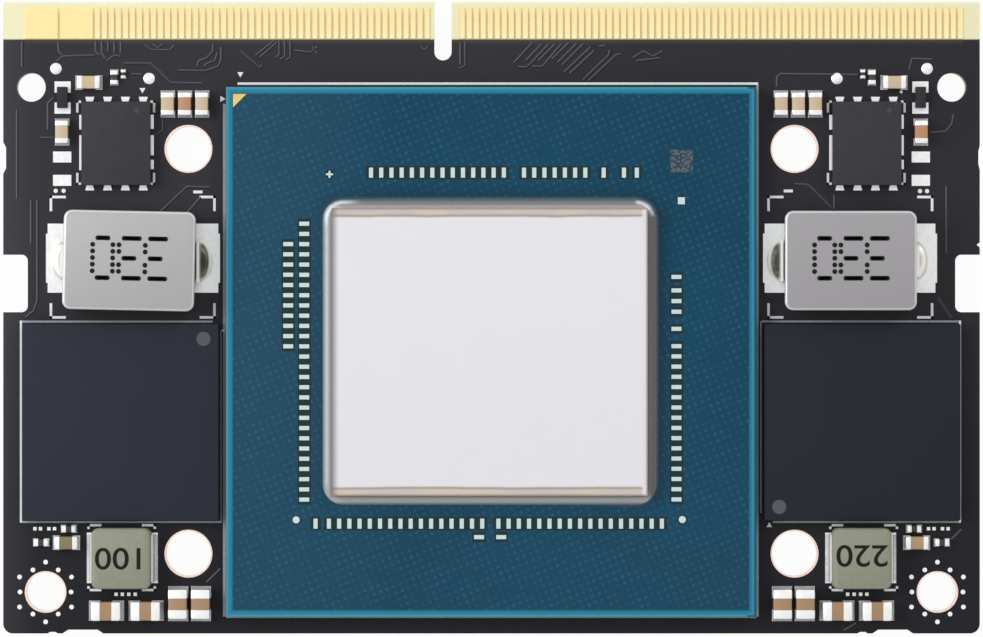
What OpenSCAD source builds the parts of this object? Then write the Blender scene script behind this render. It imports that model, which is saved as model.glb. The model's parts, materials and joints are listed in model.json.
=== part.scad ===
// System on module: a dark board with an edge connector that carries a flip-chip processor,
// two memory packages, and the inductors, power stages and capacitors that feed them.
// Millimetres, +Z up, connector edge towards +Y. The origin is the middle of the board's outline,
// on the surface that the module lies on.

/* [Circuit board] */
// Length of the board along its connector edge
board_l = 69.6; // [69:0.1:80]
// Width of the board from the connector edge to the rear edge
board_w = 45; // [44.6:0.1:52]
// Thickness of the laminate
board_t = 1.2; // [0.8:0.1:1.6]
// Radius of the two rear corners
corner_r = 0.7; // [0.2:0.1:1.2]
// Slant cut from each face along the connector edge
edge_bevel = 0.2; // [0.05:0.05:0.4]
// Thickness of the tinned pads and gold contacts
pad_t = 0.05; // [0.03:0.01:0.1]

/* [Notches] */
// Middle of the key notch along the board
key_x = -3.46; // [-4.6:0.01:-2.4]
// Width of the key notch
key_w = 1.23; // [0.8:0.01:1.6]
// Depth of the key notch, with its round end
key_depth = 4.15; // [3:0.05:5]
// Height of each latch notch along the side edge
latch_w = 4.1; // [3:0.1:5]
// Depth of each latch notch into the board
latch_depth = 1.75; // [1:0.05:2.2]
// Inner corner radius of the latch notches
latch_r = 0.45; // [0.2:0.05:0.8]
// Distance from the connector edge to the middle of the latch notches
latch_setback = 20.05; // [18:0.05:22]

/* [Tab marks] */
// Depth of the marks where the board was broken from its panel
tab_depth = 0.27; // [0.1:0.01:0.5]
// Length of the marks on the rear edge
tab_l = 2.9; // [1.5:0.1:3.2]
// Distance of the rear marks from the middle of the board
tab_x = 28.86; // [24:0.02:30]
// Shift of the two rear marks along the edge
tab_shift = -0.26; // [-0.5:0.02:0.5]
// Length of the slant at each end of a mark
tab_slant = 0.4; // [0.1:0.05:0.6]
// Depth of the small bite beside each rear mark
bite_depth = 0.11; // [0.05:0.01:0.25]
// Length of the small bite
bite_l = 0.75; // [0.5:0.05:1]
// Distance of the bite to the left of its mark's middle
bite_offset = 2.15; // [2.15:0.05:3]
// Depth of the shallow mark on the left edge
left_tab_depth = 0.2; // [0.05:0.01:0.3]
// Length of the mark on the left edge
left_tab_l = 2.28; // [1.5:0.02:3]
// Depth of the shallow mark on the right edge
right_tab_depth = 0.1; // [0.05:0.01:0.3]
// Length of the mark on the right edge
right_tab_l = 1.7; // [1.5:0.02:3]
// Distance from the connector edge to the middle of the side marks
side_tab_setback = 11.1; // [10:0.1:13]
// Depth of the small nick in the right edge
nick_depth = 0.22; // [0.05:0.01:0.4]
// Width of the nick at the edge
nick_w = 0.36; // [0.1:0.02:0.6]
// Distance from the connector edge to the nick
nick_setback = 17.3; // [16.5:0.1:17.6]

/* [Holes] */
// Diameter of the four heatsink holes
heatsink_hole_d = 3.2; // [3:0.05:3.8]
// Distance of the heatsink holes from the processor's side
heatsink_hole_gap = 2.775; // [2.4:0.025:3]
// Distance between the front and rear heatsink holes
heatsink_hole_pitch = 28.85; // [27:0.05:30]
// Distance of the holes' middle in front of the processor's middle
heatsink_hole_lead = 0.04; // [0:0.01:0.1]
// Diameter of the two rear mounting holes
mount_hole_d = 2.75; // [2.2:0.05:3.2]
// Distance of the mounting holes from the side edges
mount_hole_inset_x = 3.02; // [2.6:0.02:3.4]
// Distance of the mounting holes from the rear edge
mount_hole_inset_y = 2.96; // [2.6:0.02:3.4]
// Diameter of the two small locating holes
locating_hole_d = 2.05; // [1.6:0.05:2.2]
// Distance of the locating holes from the side edges
locating_inset_x = 2.0; // [1.6:0.05:2.3]
// Distance of the locating holes from the connector edge
locating_inset_y = 6.07; // [5.5:0.05:6.5]
// Wall of the metal liners in the large holes
liner_wall = 0.11; // [0.05:0.01:0.2]
// Diameter of the stitching vias round the mounting holes
via_d = 0.33; // [0.2:0.01:0.4]

/* [Edge contacts] */
// Distance from one contact to the next
contact_pitch = 0.5; // [0.45:0.01:0.5]
// Bare laminate between two contacts
contact_gap = 0.16; // [0.08:0.01:0.2]
// Length of the contacts
contact_l = 2.2; // [1.8:0.05:2.4]
// Bare laminate between the connector edge and the contacts
contact_setback = 0.4; // [0.4:0.05:0.6]
// Bare laminate between the last contact and each side edge
contact_margin = 1.1; // [0.8:0.05:2]
// Wide contacts at the short end of the upper row
wide_contacts = 2; // [0:1:4]
// Narrow contact places that one wide contact covers
wide_places = 5; // [2:1:5]
// Clear laminate from the middle of the key notch to the first contact on its left
key_clear_left = 0.865; // [0.8:0.005:1.1]
// Clear laminate from the middle of the key notch to the first contact on its right
key_clear_right = 1.135; // [0.8:0.005:1.2]

/* [Processor] */
// Side of the square processor substrate
processor_w = 37.65; // [34:0.05:38.1]
// Thickness of the substrate
substrate_t = 1.0; // [0.6:0.05:1.4]
// Shift of the substrate along the board
processor_x = -0.04; // [-0.2:0.02:0.2]
// Bare board between the contacts' inner end and the processor
processor_setback = 3.36; // [3:0.02:4]
// Bare board between the processor and the rear edge
processor_rear = 1.2; // [0.8:0.05:2]
// Length of the die
die_l = 22.4; // [18:0.05:24]
// Width of the die
die_w = 20.4; // [16:0.05:21.5]
// Thickness of the die
die_t = 0.8; // [0.4:0.05:1]
// Distance that the underfill fillet reaches out from the die
underfill_w = 0.66; // [0.3:0.02:0.9]
// Outer corner radius of the underfill
underfill_r = 1.5; // [1:0.05:2]
// Height of the underfill fillet on the die's side
underfill_h = 0.66; // [0.3:0.02:0.75]
// Distance between the processor's solder balls
ball_pitch = 1.0; // [0.8:0.05:1.27]
// Diameter of the processor's solder balls
ball_d = 0.55; // [0.4:0.01:0.6]
// Gap that the solder balls hold open
ball_h = 0.4; // [0.25:0.01:0.5]
// Rows of solder balls along each side
ball_rows = 3; // [1:1:5]
// Solder balls along one side of the middle field
middle_balls = 13; // [5:1:15]

/* [Processor lands] */
// Distance between the surface lands
land_pitch = 0.726; // [0.6:0.001:0.75]
// Width of a surface land
land_w = 0.29; // [0.2:0.01:0.35]
// Length of a surface land
land_l = 0.71; // [0.5:0.01:0.8]
// Thickness of the surface lands
land_t = 0.03; // [0.02:0.005:0.05]
// Side of the gold pin-one triangle
pin_one_side = 0.95; // [0.6:0.05:1.3]
// Distance of the pin-one triangle from the substrate's corner
pin_one_inset = 0.5; // [0.3:0.05:0.8]

/* [Memory] */
// Side of the square memory packages
memory_w = 13.95; // [12:0.05:14.4]
// Thickness of the memory packages' moulding
memory_mould_t = 0.6; // [0.4:0.05:0.8]
// Thickness of the memory packages' substrate
memory_substrate_t = 0.2; // [0.12:0.02:0.3]
// Clear board between the processor and the memory
chip_gap = 0.585; // [0.3:0.005:0.8]
// Distance between the memory's solder balls
memory_ball_pitch = 0.65; // [0.5:0.05:0.8]
// Diameter of the memory's solder balls
memory_ball_d = 0.35; // [0.25:0.01:0.4]
// Rows of memory solder balls along each side
memory_ball_rows = 2; // [1:1:4]
// Memory solder balls along one side of the middle field
memory_middle_balls = 5; // [3:1:9]
// Gap that the memory's solder balls hold open
memory_ball_h = 0.25; // [0.15:0.01:0.35]

/* [Power inductors] */
// Length of an inductor's pressed body
inductor_l = 9.35; // [8:0.05:9.8]
// Width of the body
inductor_w = 7.05; // [6:0.01:7.2]
// Height of the body
inductor_h = 2.9; // [2:0.1:4]
// Corner radius of the body
inductor_r = 0.6; // [0.3:0.05:1]
// Slant round the body's upper edge
inductor_slant = 0.22; // [0.1:0.02:0.4]
// Clear board between the memory and the body
inductor_gap = 0.975; // [0.7:0.005:1.4]
// Clear board between the processor and the terminal pads
inductor_inset = 0.525; // [0.3:0.025:0.8]
// Shift of the two bodies along the board
inductor_shift = -0.115; // [-0.2:0.005:0.2]
// Turn of the left body on its pads, in degrees
inductor_turn = -1.2; // [-2:0.1:2]
// Distance of the pads' middle in front of the bodies' middle
inductor_pad_lead = 0.2; // [0:0.05:0.3]
// Length over the two terminal pads
inductor_pad_span = 12.4; // [12:0.1:12.6]
// Width of the terminal pads
inductor_pad_w = 4.92; // [4.4:0.02:5.6]
// Width of the terminal strip
terminal_w = 2.9; // [2.4:0.05:3.4]
// Thickness of the terminal strip
terminal_t = 0.3; // [0.2:0.02:0.4]
// Height of the terminal strip on the body's side
terminal_h = 1.5; // [1:0.05:1.8]
// Length of the foot that the strip has under the body
terminal_foot = 1.0; // [0.6:0.05:2]
// Reach of the round solder fillet beyond the body
terminal_solder = 1.1; // [0.8:0.05:1.3]
// Width of the round solder fillet along the body
terminal_solder_w = 3.1; // [2.4:0.05:4]

/* [Power stages] */
// Width of a power stage package along the board
stage_w = 4.9; // [4:0.05:5.1]
// Length of the package across the board
stage_l = 5.95; // [5:0.05:6.1]
// Thickness of the moulding
stage_mould_t = 0.65; // [0.4:0.05:0.9]
// Thickness of the leadframe under it
leadframe_t = 0.2; // [0.1:0.02:0.3]
// Distance of the package's middle from the processor's side
stage_offset = 7.9; // [7.6:0.05:8.2]
// Clear board between the inductor body and the package
stage_gap = 1.865; // [1.7:0.005:2.2]
// Depth of the strip of chip parts in front of the package
driver_strip = 2.8; // [2.75:0.05:3.2]
// Clear board between that strip and the edge contacts
driver_gap = 1.71; // [1.2:0.01:2]
// Distance between the leads
lead_pitch = 1.27; // [1:0.01:1.27]
// Width of a lead
lead_w = 0.46; // [0.4:0.02:0.6]
// Outer width of a lead's pad
lead_pad_w = 0.64; // [0.5:0.02:0.8]
// Length of a lead under the moulding
lead_l = 0.5; // [0.3:0.02:0.6]
// Distance that leads show beyond the moulding
lead_show = 0.14; // [0.05:0.01:0.2]
// Distance that the leads' pads show beyond the moulding
lead_pad_reach = 0.36; // [0.2:0.02:0.42]
// Distance that the side strips' pads show beyond the moulding
strip_pad_reach = 0.2; // [0.14:0.02:0.3]

/* [Step-down inductors] */
// Width of a step-down inductor's body along the board
buck_w = 4.2; // [3.5:0.05:4.5]
// Length of the body across the board
buck_l = 4.3; // [3.5:0.05:4.4]
// Height of the body
buck_h = 1.8; // [1:0.1:2.4]
// Cut corner of the body
buck_chamfer = 0.45; // [0.2:0.05:0.7]
// Width of the terminals
buck_terminal_w = 3.3; // [2.4:0.05:3.3]
// Thickness of the terminals
buck_terminal_t = 0.12; // [0.08:0.01:0.2]
// Height of the terminals on the body's sides
buck_terminal_h = 0.9; // [0.5:0.05:0.95]
// Length of the foot that a terminal has under the body
buck_foot = 1.0; // [0.5:0.05:1.5]
// Reach of the solder beyond a terminal
buck_solder = 0.31; // [0.15:0.01:0.45]
// Width of the terminal pads
buck_pad_w = 3.6; // [2.8:0.05:4]
// Clear board between the memory and the body
buck_gap = 0.56; // [0.5:0.02:0.8]
// Distance of the body's middle from the memory's middle, towards the processor
buck_inset = 0.075; // [0:0.005:0.2]
// Depth of the strip of chip parts between the memory and the mounting holes
rail_strip = 1.9; // [1.85:0.05:2.2]
// Clear board between that strip and the vias of the mounting holes
rail_clear = 0.945; // [0.6:0.005:1.2]

/* [Chip parts] */
// Length of the rear chip capacitors
large_cap_l = 2.1; // [1.6:0.05:2.1]
// Width of the rear chip capacitors
large_cap_w = 1.35; // [1:0.05:1.35]
// Height of the rear chip capacitors
large_cap_h = 1.25; // [0.8:0.05:1.6]
// Length of the smaller chip capacitors
small_cap_l = 1.65; // [1.3:0.05:1.7]
// Width of the smaller chip capacitors
small_cap_w = 0.95; // [0.6:0.05:1]
// Height of the smaller chip capacitors
small_cap_h = 0.8; // [0.6:0.05:1]
// Length of the chip resistors
resistor_l = 1.0; // [0.8:0.05:1.05]
// Width of the chip resistors
resistor_w = 0.5; // [0.35:0.05:0.55]
// Height of the chip resistors
resistor_h = 0.4; // [0.25:0.05:0.5]
// Length of the tiny chip resistors
tiny_l = 0.6; // [0.5:0.02:0.64]
// Width of the tiny chip resistors
tiny_w = 0.3; // [0.2:0.02:0.34]
// Height of the tiny chip resistors
tiny_h = 0.25; // [0.15:0.01:0.3]
// Share of a smaller capacitor's length that each metal end takes
small_end_share = 0.22; // [0.15:0.01:0.35]
// Share of any other chip part's length that each metal end takes
end_share = 0.3; // [0.15:0.01:0.35]
// Height by which the metal ends stand proud of the ceramic
end_proud = 0.02; // [0.01:0.005:0.04]
// Reach of the solder fillet beyond a chip part's end, as a share of the part's width
fillet_reach = 0.15; // [0.08:0.01:0.2]
// Distance that the pads show beside a chip part
pad_side = 0.03; // [0.01:0.005:0.06]
// Share of a chip part's height that its solder climbs
fillet_share = 0.55; // [0.3:0.05:0.8]
// Width of the suppressors
suppressor_w = 0.75; // [0.6:0.05:0.95]
// Length of the suppressors
suppressor_l = 1.5; // [1.2:0.05:1.6]
// Height of the suppressors
suppressor_h = 0.5; // [0.3:0.05:0.8]
// Diameter of the domed test points
test_point_d = 0.81; // [0.6:0.01:1]
// Height of the domed test points
test_point_h = 0.14; // [0.08:0.01:0.25]

/* [Underside] */
// Length of the boot flash package
flash_l = 6; // [5:0.1:8]
// Width of the boot flash package
flash_w = 5; // [4:0.1:6]
// Height of the boot flash package
flash_h = 0.8; // [0.5:0.05:0.9]
// Columns of decoupling capacitors under the processor
decoupling_columns = 8; // [3:1:9]
// Rows of decoupling capacitors under the processor
decoupling_rows = 6; // [2:1:8]
// Distance between the columns
decoupling_pitch_x = 2.4; // [2:0.1:2.6]
// Distance between the rows
decoupling_pitch_y = 2.2; // [1.6:0.1:2.4]

/* [Hidden] */
$fn = 48;
eps = 0.01;
cut = 1;
SIDES = ["left", "right"];

// Heights
under_h = max(small_cap_h, flash_h);
board_z = under_h + pad_t;
board_top = board_z + board_t;
pad_top = board_top + pad_t;
substrate_z = board_top + ball_h;
substrate_top = substrate_z + substrate_t;
memory_z = board_top + memory_ball_h;

// Stitching vias of one quarter round a mounting hole, as offsets from its middle
VIA_QUARTER = [[0, 2.13], [0.9, 1.57], [1.85, 1.07], [1.82, 0]];
via_reach = max([for (v = VIA_QUARTER) v[0]]) + via_d / 2;
via_top = max([for (v = VIA_QUARTER) v[1]]) + via_d / 2;

// Processor: the bare board before and behind it shares what the board's width leaves over
front = board_w / 2;
contact_end = front - contact_setback - contact_l;
processor_room = contact_end + board_w / 2 - processor_w;
processor_share = processor_setback / (processor_setback + processor_rear);
processor_y = contact_end - processor_share * processor_room - processor_w / 2;
side_x = processor_w / 2;

// Side columns: stage, inductor and memory follow each other from the contacts to the mounting holes,
// and the clear gaps between them stretch with the room that the board's width leaves over
column_room = contact_end + board_w / 2 - mount_hole_inset_y - via_top;
column_parts = driver_strip + stage_l + inductor_w + memory_w + rail_strip;
column_gaps = driver_gap + stage_gap + inductor_gap + rail_clear;
stretch = (column_room - column_parts) / column_gaps;
stage_x = side_x + stage_offset;
stage_y = contact_end - driver_gap * stretch - driver_strip - stage_l / 2;
inductor_x = side_x + inductor_inset + inductor_pad_span / 2;
inductor_y = stage_y - stage_l / 2 - stage_gap * stretch - inductor_w / 2;
inductor_pad_y = inductor_y + inductor_pad_lead;
memory_x = side_x + chip_gap + memory_w / 2;
memory_y = inductor_y - inductor_w / 2 - inductor_gap * stretch - memory_w / 2;
buck_x = memory_x - buck_inset;
buck_y = memory_y - memory_w / 2 - buck_gap - buck_l / 2;
heatsink_x = side_x + heatsink_hole_gap;
heatsink_y = processor_y + heatsink_hole_lead;
mount_x = board_l / 2 - mount_hole_inset_x;
mount_y = mount_hole_inset_y - board_w / 2;
locating_x = board_l / 2 - locating_inset_x;
locating_y = front - locating_inset_y;
die_shift = [-0.13, 0];

// Contacts fill both stretches of the edge from the key notch outwards
contact_round = (contact_pitch - contact_gap) / 3;
short_edge = key_x - key_clear_left;
long_edge = key_x + key_clear_right;
short_places = floor((board_l / 2 - contact_margin + short_edge) / contact_pitch);
long_places = floor((board_l / 2 - contact_margin - long_edge) / contact_pitch);
narrow_places = short_places - wide_contacts * wide_places;
wide_pitch = wide_places * contact_pitch;

// Chip parts: length, width, height, share of each metal end
LARGE = [large_cap_l, large_cap_w, large_cap_h, end_share];
SMALL = [small_cap_l, small_cap_w, small_cap_h, small_end_share];
RESISTOR = [resistor_l, resistor_w, resistor_h, end_share];
TINY = [tiny_l, tiny_w, tiny_h, end_share];
tan_ceramic = [0.83, 0.76, 0.65];
orange_ceramic = [0.8, 0.6, 0.43];
BROWN = [orange_ceramic, orange_ceramic];
olive_ceramic = [0.6, 0.53, 0.4];
fillet_waist = [0.4, 0.33];
tin = [0.85, 0.86, 0.86];
solder_grey = [0.78, 0.79, 0.8];
gold = [0.96, 0.86, 0.55];

// Rows of chip parts: clear board between them and their packages
small_gap = 0.27;
outer_gap = 1.42;
rear_gap = 0.935;
rail_gap = 1.63;
dot_gap = 0.44;
rail_step = 1.0;
rear_step = 0.5;
input_lead = 2.82;
driver_shift = 0.11;
small_pitch = small_cap_w + small_gap;
input_x = 1.8;
input_y = stage_y + input_lead;
outer_x = stage_offset + stage_w / 2 + outer_gap;
rear_y = buck_y - buck_l / 2 - rear_gap - large_cap_w / 2;
rear_upright_y = rear_y + rear_step;
rail_y = memory_y - memory_w / 2 - rail_gap;

// Rear capacitors: the gaps of the row from the processor's side to the vias share the free room
REAR_GAPS = [1.2, 0.275, 0.56, 0.725, 1.28];
rear_room = mount_x - via_reach - side_x - 2 * large_cap_w - 2 * large_cap_l;
rear_stretch = rear_room / (REAR_GAPS * [1, 1, 1, 1, 1]);
rear_1_x = REAR_GAPS[0] * rear_stretch + large_cap_w / 2;
rear_2_x = rear_1_x + large_cap_w + REAR_GAPS[1] * rear_stretch;
rear_3_x = rear_2_x + large_cap_w / 2 + REAR_GAPS[2] * rear_stretch + large_cap_l / 2;
rear_4_x = rear_3_x + large_cap_l + REAR_GAPS[3] * rear_stretch;
dots_x = (rear_3_x + rear_4_x) / 2;

// Capacitors of the right side: name, size, distance from the processor's side, y, turn, and the
// colours of the left and the right one. The left side mirrors their places.
CAPACITORS = [
    ["input_capacitor_1", SMALL, input_x, input_y, 90, [tan_ceramic, tan_ceramic]],
    ["input_capacitor_2", SMALL, input_x + small_pitch, input_y, 90, [orange_ceramic, tan_ceramic]],
    ["input_capacitor_3", SMALL, input_x + 2 * small_pitch, input_y, 90, [tan_ceramic, tan_ceramic]],
    ["driver_capacitor", SMALL, stage_offset + 1.96, stage_y + 4.35, 0, [tan_ceramic, tan_ceramic]],
    ["outer_capacitor", SMALL, outer_x, stage_y + 0.82, 90, [tan_ceramic, orange_ceramic]],
    ["rail_capacitor", SMALL, 11.465, rail_y, 0, [olive_ceramic, tan_ceramic]],
    ["rear_capacitor_1", LARGE, rear_1_x, rear_upright_y, 90, BROWN],
    ["rear_capacitor_2", LARGE, rear_2_x, rear_upright_y, 90, BROWN],
    ["rear_capacitor_3", LARGE, rear_3_x, rear_y, 0, BROWN],
    ["rear_capacitor_4", LARGE, rear_4_x, rear_y, 0, BROWN],
];

// Chip resistors of the right side: size, distance from the processor's side, y, turn, and a shift
// along the board that the left side doesn't mirror
RESISTORS = [
    [RESISTOR, stage_offset + 0.27, stage_y + 4.71, 90, driver_shift],
    [TINY, stage_offset - 0.375, stage_y + 4.96, 90, driver_shift],
    [RESISTOR, 11.285, rail_y + rail_step, 0, 0],
    [RESISTOR, 13.265, rail_y + 0.02, 0, 0],
];

suppressor_x = outer_x - 0.03;
suppressor_y = stage_y + 3.28;
suppressor_pad_l = 0.8;
suppressor_pad_reach = 0.4;
suppressor_pad_side = 0.2;

// Power inductor pads: step and length of the longer middle, and how far solder climbs the strip
inductor_pad_step = 0.12;
inductor_pad_middle = 3.5;
solder_climb = 0.7;

// Bare pads of the right side: distance from the processor's side, y, then length and width
bare_pad = [1.3, 0.78];
dot_pad = [0.24, 0.24];
BARE_PADS = [
    [outer_x, stage_y - 0.955, bare_pad],
    [outer_x, stage_y - 2.62, bare_pad],
    for (dx = [12.315, 12.715, 13.315, 13.715]) [dx, rail_y + rail_step, dot_pad],
    for (dx = [-0.635, -0.175, 0.285, 0.73]) [dots_x + dx, buck_y - buck_l / 2 - dot_gap, dot_pad],
];

// Test points of the right side: distance from the processor's side, y, unmirrored shift
TEST_POINTS = [[12.22, stage_y + 5.34, 0], [5.69, stage_y + 4.64, driver_shift]];

// Leads of a power stage, as offsets from its middle; a side strip gives its side, y and length
heat_pad_gap = 0.3;
heat_pad_inset = lead_l + heat_pad_gap;
LEADS_X = [for (i = [-1.5:1:1.5]) i * lead_pitch];
STRIPS = [
    [-1, 1.52, 1.05],
    [-1, -0.65, 2.5],
    [1, 1.55, 1.0],
    [1, -0.12, 1.43],
    [1, -1.49, 0.66],
];

// Rows of surface lands on the processor, in its own frame: first place, count, step, upright or not
land_row_y = 12.738;
land_rear_y = -12.2;
land_left_x = -13.305;
land_outer_x = -14.445;
land_right_x = 13.142;
LAND_ROWS = [
    [[-8.56, land_row_y], 14, [land_pitch, 0], true],
    [[2.31, land_row_y], 7, [land_pitch, 0], true],
    [[7.97, land_row_y], 1, [0, 0], true],
    [[9.41, land_row_y], 2, [0.917, 0], true],
    [[land_outer_x, 7.66], 11, [0, -land_pitch], false],
    [[land_left_x, 9.11], 28, [0, -land_pitch], false],
    [[land_right_x, 5.33], 1, [0, 0], false],
    [[land_right_x, 4.37], 3, [0, -0.757], false],
    [[land_right_x, 1.64], 1, [0, 0], false],
    [[land_right_x, 0.41], 16, [0, -land_pitch], false],
    [[-12.5, land_rear_y], 1, [0, 0], true],
    [[-11.55, land_rear_y], 16, [land_pitch, 0], true],
    [[0.49, land_rear_y], 17, [land_pitch, 0], true],
    [[-0.885, land_rear_y - 0.957], 2, [1.575, 0], false],
];
fiducial_d = 0.5;
ROUND_FIDUCIALS = [[-13.88, -11.93], [13.56, -11.91]];
square_fiducial = [13.49, 10.74];
cross_fiducial = [-11.51, 12.62];
cross_arm = 0.14;

// Bare margin from the packages' edges to the middle of the outer solder balls
ball_margin = 0.9;
memory_ball_margin = 0.55;

// Underside: the flash lies under a power stage, bulk capacitors under the memory packages
flash_x = stage_x + 0.5;
flash_y = stage_y - 1.5;
flash_pitch = 1.27;
flash_land = [0.45, 1.0];
flash_heat_land = [3.4, 3.0];
bulk_x = memory_x - 5;
bulk_pitch_x = 4;
bulk_pitch_y = 10;
BULK = [
    for (x = [-1, 1], i = [0, 1, 2], y = [-0.5, 0.5])
        [x * (bulk_x + i * bulk_pitch_x), memory_y + y * bulk_pitch_y],
];
DECOUPLING = [
    for (i = [0:1:decoupling_columns - 1], j = [0:1:decoupling_rows - 1]) [
        (i - (decoupling_columns - 1) / 2) * decoupling_pitch_x,
        processor_y + (j - (decoupling_rows - 1) / 2) * decoupling_pitch_y,
    ],
];

// Sign of X on a side
function sign_of(side) = side == "left" ? -1 : 1;

// Puts children at a place on the board's upper face or under its lower face
module on_top(x, y, turn = 0, z = board_top) {
    translate([x, y, z]) rotate(turn) children();
}

module on_underside(x, y, turn = 0) {
    translate([x, y, board_z]) rotate([180, 0, turn]) children();
}

module rounded_plate(l, w, r, h) {
    linear_extrude(h) {
        square([l - 2 * r, w], center = true);
        square([l, w - 2 * r], center = true);
        for (x = [-1, 1], y = [-1, 1])
            translate([x * (l / 2 - r), y * (w / 2 - r)]) circle(r);
    }
}

// A box that stands on z = 0
module block(l, w, h) {
    translate([-l / 2, -w / 2, 0]) cube([l, w, h]);
}

// Board

module board_outline() {
    difference() {
        union() {
            translate([-board_l / 2, -board_w / 2 + corner_r]) square([board_l, board_w - corner_r]);
            translate([-board_l / 2 + corner_r, -board_w / 2]) square([board_l - 2 * corner_r, 2 * corner_r]);
            for (side = [-1, 1])
                translate([side * (board_l / 2 - corner_r), -board_w / 2 + corner_r]) circle(corner_r);
        }
        translate([key_x - key_w / 2, front - key_depth + key_w / 2]) square([key_w, key_depth + cut]);
        translate([key_x, front - key_depth + key_w / 2]) circle(key_w / 2);
        for (side = [-1, 1]) {
            translate([side * board_l / 2, front - latch_setback]) latch_outline();
            translate([side * tab_x + tab_shift, -board_w / 2]) {
                tab_outline(tab_l, tab_depth, tab_slant);
                translate([-bite_offset, 0]) tab_outline(bite_l, bite_depth, bite_l / 4);
            }
        }
        translate([-board_l / 2, front - side_tab_setback])
            rotate(90) tab_outline(left_tab_l, left_tab_depth, tab_slant);
        translate([board_l / 2, front - side_tab_setback])
            rotate(90) tab_outline(right_tab_l, right_tab_depth, tab_slant);
        translate([board_l / 2, front - nick_setback])
            polygon([[-nick_depth, 0], [nick_depth, -nick_w], [nick_depth, nick_w]]);
    }
}

// Latch notch, its middle on the side edge
module latch_outline() {
    reach = 2 * latch_depth;
    square([reach - 2 * latch_r, latch_w], center = true);
    square([reach, latch_w - 2 * latch_r], center = true);
    for (x = [-1, 1], y = [-1, 1])
        translate([x * (latch_depth - latch_r), y * (latch_w / 2 - latch_r)]) circle(latch_r);
}

// Shallow mark with slanted ends, its middle on the edge
module tab_outline(l, depth, slant) {
    polygon([
        [-l / 2, 0], [slant - l / 2, -depth], [l / 2 - slant, -depth],
        [l / 2, 0], [l / 2 - slant, depth], [slant - l / 2, depth],
    ]);
}

module circuit_board() color([0.16, 0.16, 0.18]) {
    difference() {
        translate([0, 0, board_z]) linear_extrude(board_t) board_outline();
        hole_pattern(heatsink_hole_d / 2 + liner_wall, mount_hole_d / 2 + liner_wall);
        for (side = [-1, 1]) board_hole(side * locating_x, locating_y, locating_hole_d / 2);
        for (z = [board_z, board_top])
            translate([0, front, z]) rotate([45, 0, 0])
                cube([board_l + cut, edge_bevel * sqrt(2), edge_bevel * sqrt(2)], center = true);
    }
}

module board_hole(x, y, r) {
    translate([x, y, board_z - cut]) cylinder(r = r, h = board_t + 2 * cut);
}

module hole_pattern(heatsink_r, mount_r) {
    for (side = [-1, 1]) {
        for (row = [-1, 1])
            board_hole(side * heatsink_x, heatsink_y + row * heatsink_hole_pitch / 2, heatsink_r);
        board_hole(side * mount_x, mount_y, mount_r);
    }
}

module hole_liners() color([0.8, 0.55, 0.4]) {
    for (side = [-1, 1]) {
        for (row = [-1, 1])
            translate([side * heatsink_x, heatsink_y + row * heatsink_hole_pitch / 2, board_z])
                liner(heatsink_hole_d / 2);
        translate([side * mount_x, mount_y, board_z]) liner(mount_hole_d / 2);
    }
}

module liner(r) {
    difference() {
        cylinder(r = r + liner_wall, h = board_t);
        translate([0, 0, -cut]) cylinder(r = r, h = board_t + 2 * cut);
    }
}

// A row of contacts with rounded inner corners that starts at x and steps along dir
module contact_row(x, dir, count, pitch, z) {
    w = pitch - contact_gap;
    r = contact_round;
    for (i = [0:1:count - 1])
        translate([x + dir * (i + 0.5) * pitch, contact_end, z]) {
            translate([-w / 2, r, 0]) cube([w, contact_l - r, pad_t]);
            translate([-w / 2 + r, 0, 0]) cube([w - 2 * r, 2 * r, pad_t]);
            for (end = [-1, 1]) translate([end * (w / 2 - r), r, 0]) cylinder(r = r, h = pad_t);
        }
}

module upper_edge_contacts() color(gold) {
    contact_row(short_edge, -1, narrow_places, contact_pitch, board_top);
    contact_row(short_edge - narrow_places * contact_pitch, -1, wide_contacts, wide_pitch, board_top);
    contact_row(long_edge, 1, long_places, contact_pitch, board_top);
}

module lower_edge_contacts() color(gold) {
    contact_row(short_edge, -1, short_places, contact_pitch, board_z - pad_t);
    contact_row(long_edge, 1, long_places, contact_pitch, board_z - pad_t);
}

module stitching_vias() color(tin) {
    for (side = [-1, 1], v = VIA_QUARTER, x = (v[0] == 0 ? [1] : [-1, 1]), y = (v[1] == 0 ? [1] : [-1, 1]))
        for (z = [board_z - pad_t, board_top])
            translate([side * mount_x + x * v[0], mount_y + y * v[1], z]) cylinder(d = via_d, h = pad_t);
}

// Low dome cut from a sphere
module test_points() color(tin) {
    r = (pow(test_point_d / 2, 2) + pow(test_point_h, 2)) / (2 * test_point_h);
    for (side = [-1, 1], p = TEST_POINTS)
        on_top(side * (side_x + p[0]) + p[2], p[1])
            intersection() {
                translate([0, 0, test_point_h - r]) sphere(r);
                block(test_point_d, test_point_d, test_point_h);
            }
}

// Chip parts

// Ceramic chip with a metal band round each end, its length along X
module chip_part(size) {
    band = size[0] * size[3];
    block(size[0] - 2 * band + eps, size[1] - 2 * end_proud, size[2] - end_proud);
    for (end = [-1, 1]) translate([end * (size[0] - band) / 2, 0, 0]) block(band, size[1], size[2]);
}

// Pads and solder fillets of a chip part that stands on them
module chip_pads(size) {
    under = size[0] * size[3];
    climb = size[2] * fillet_share;
    reach = size[1] * fillet_reach;
    for (end = [0, 180]) rotate(end) {
        translate([size[0] / 2 + (reach - under) / 2, 0, 0])
            block(under + reach, size[1] + 2 * pad_side, pad_t);
        translate([size[0] / 2, 0, 0]) solder_fillet(reach, climb, size[1]);
    }
}

module capacitor(side, c) color(c[5][side == "left" ? 0 : 1]) {
    on_top(sign_of(side) * (side_x + c[2]), c[3], c[4], pad_top) chip_part(c[1]);
}

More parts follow.
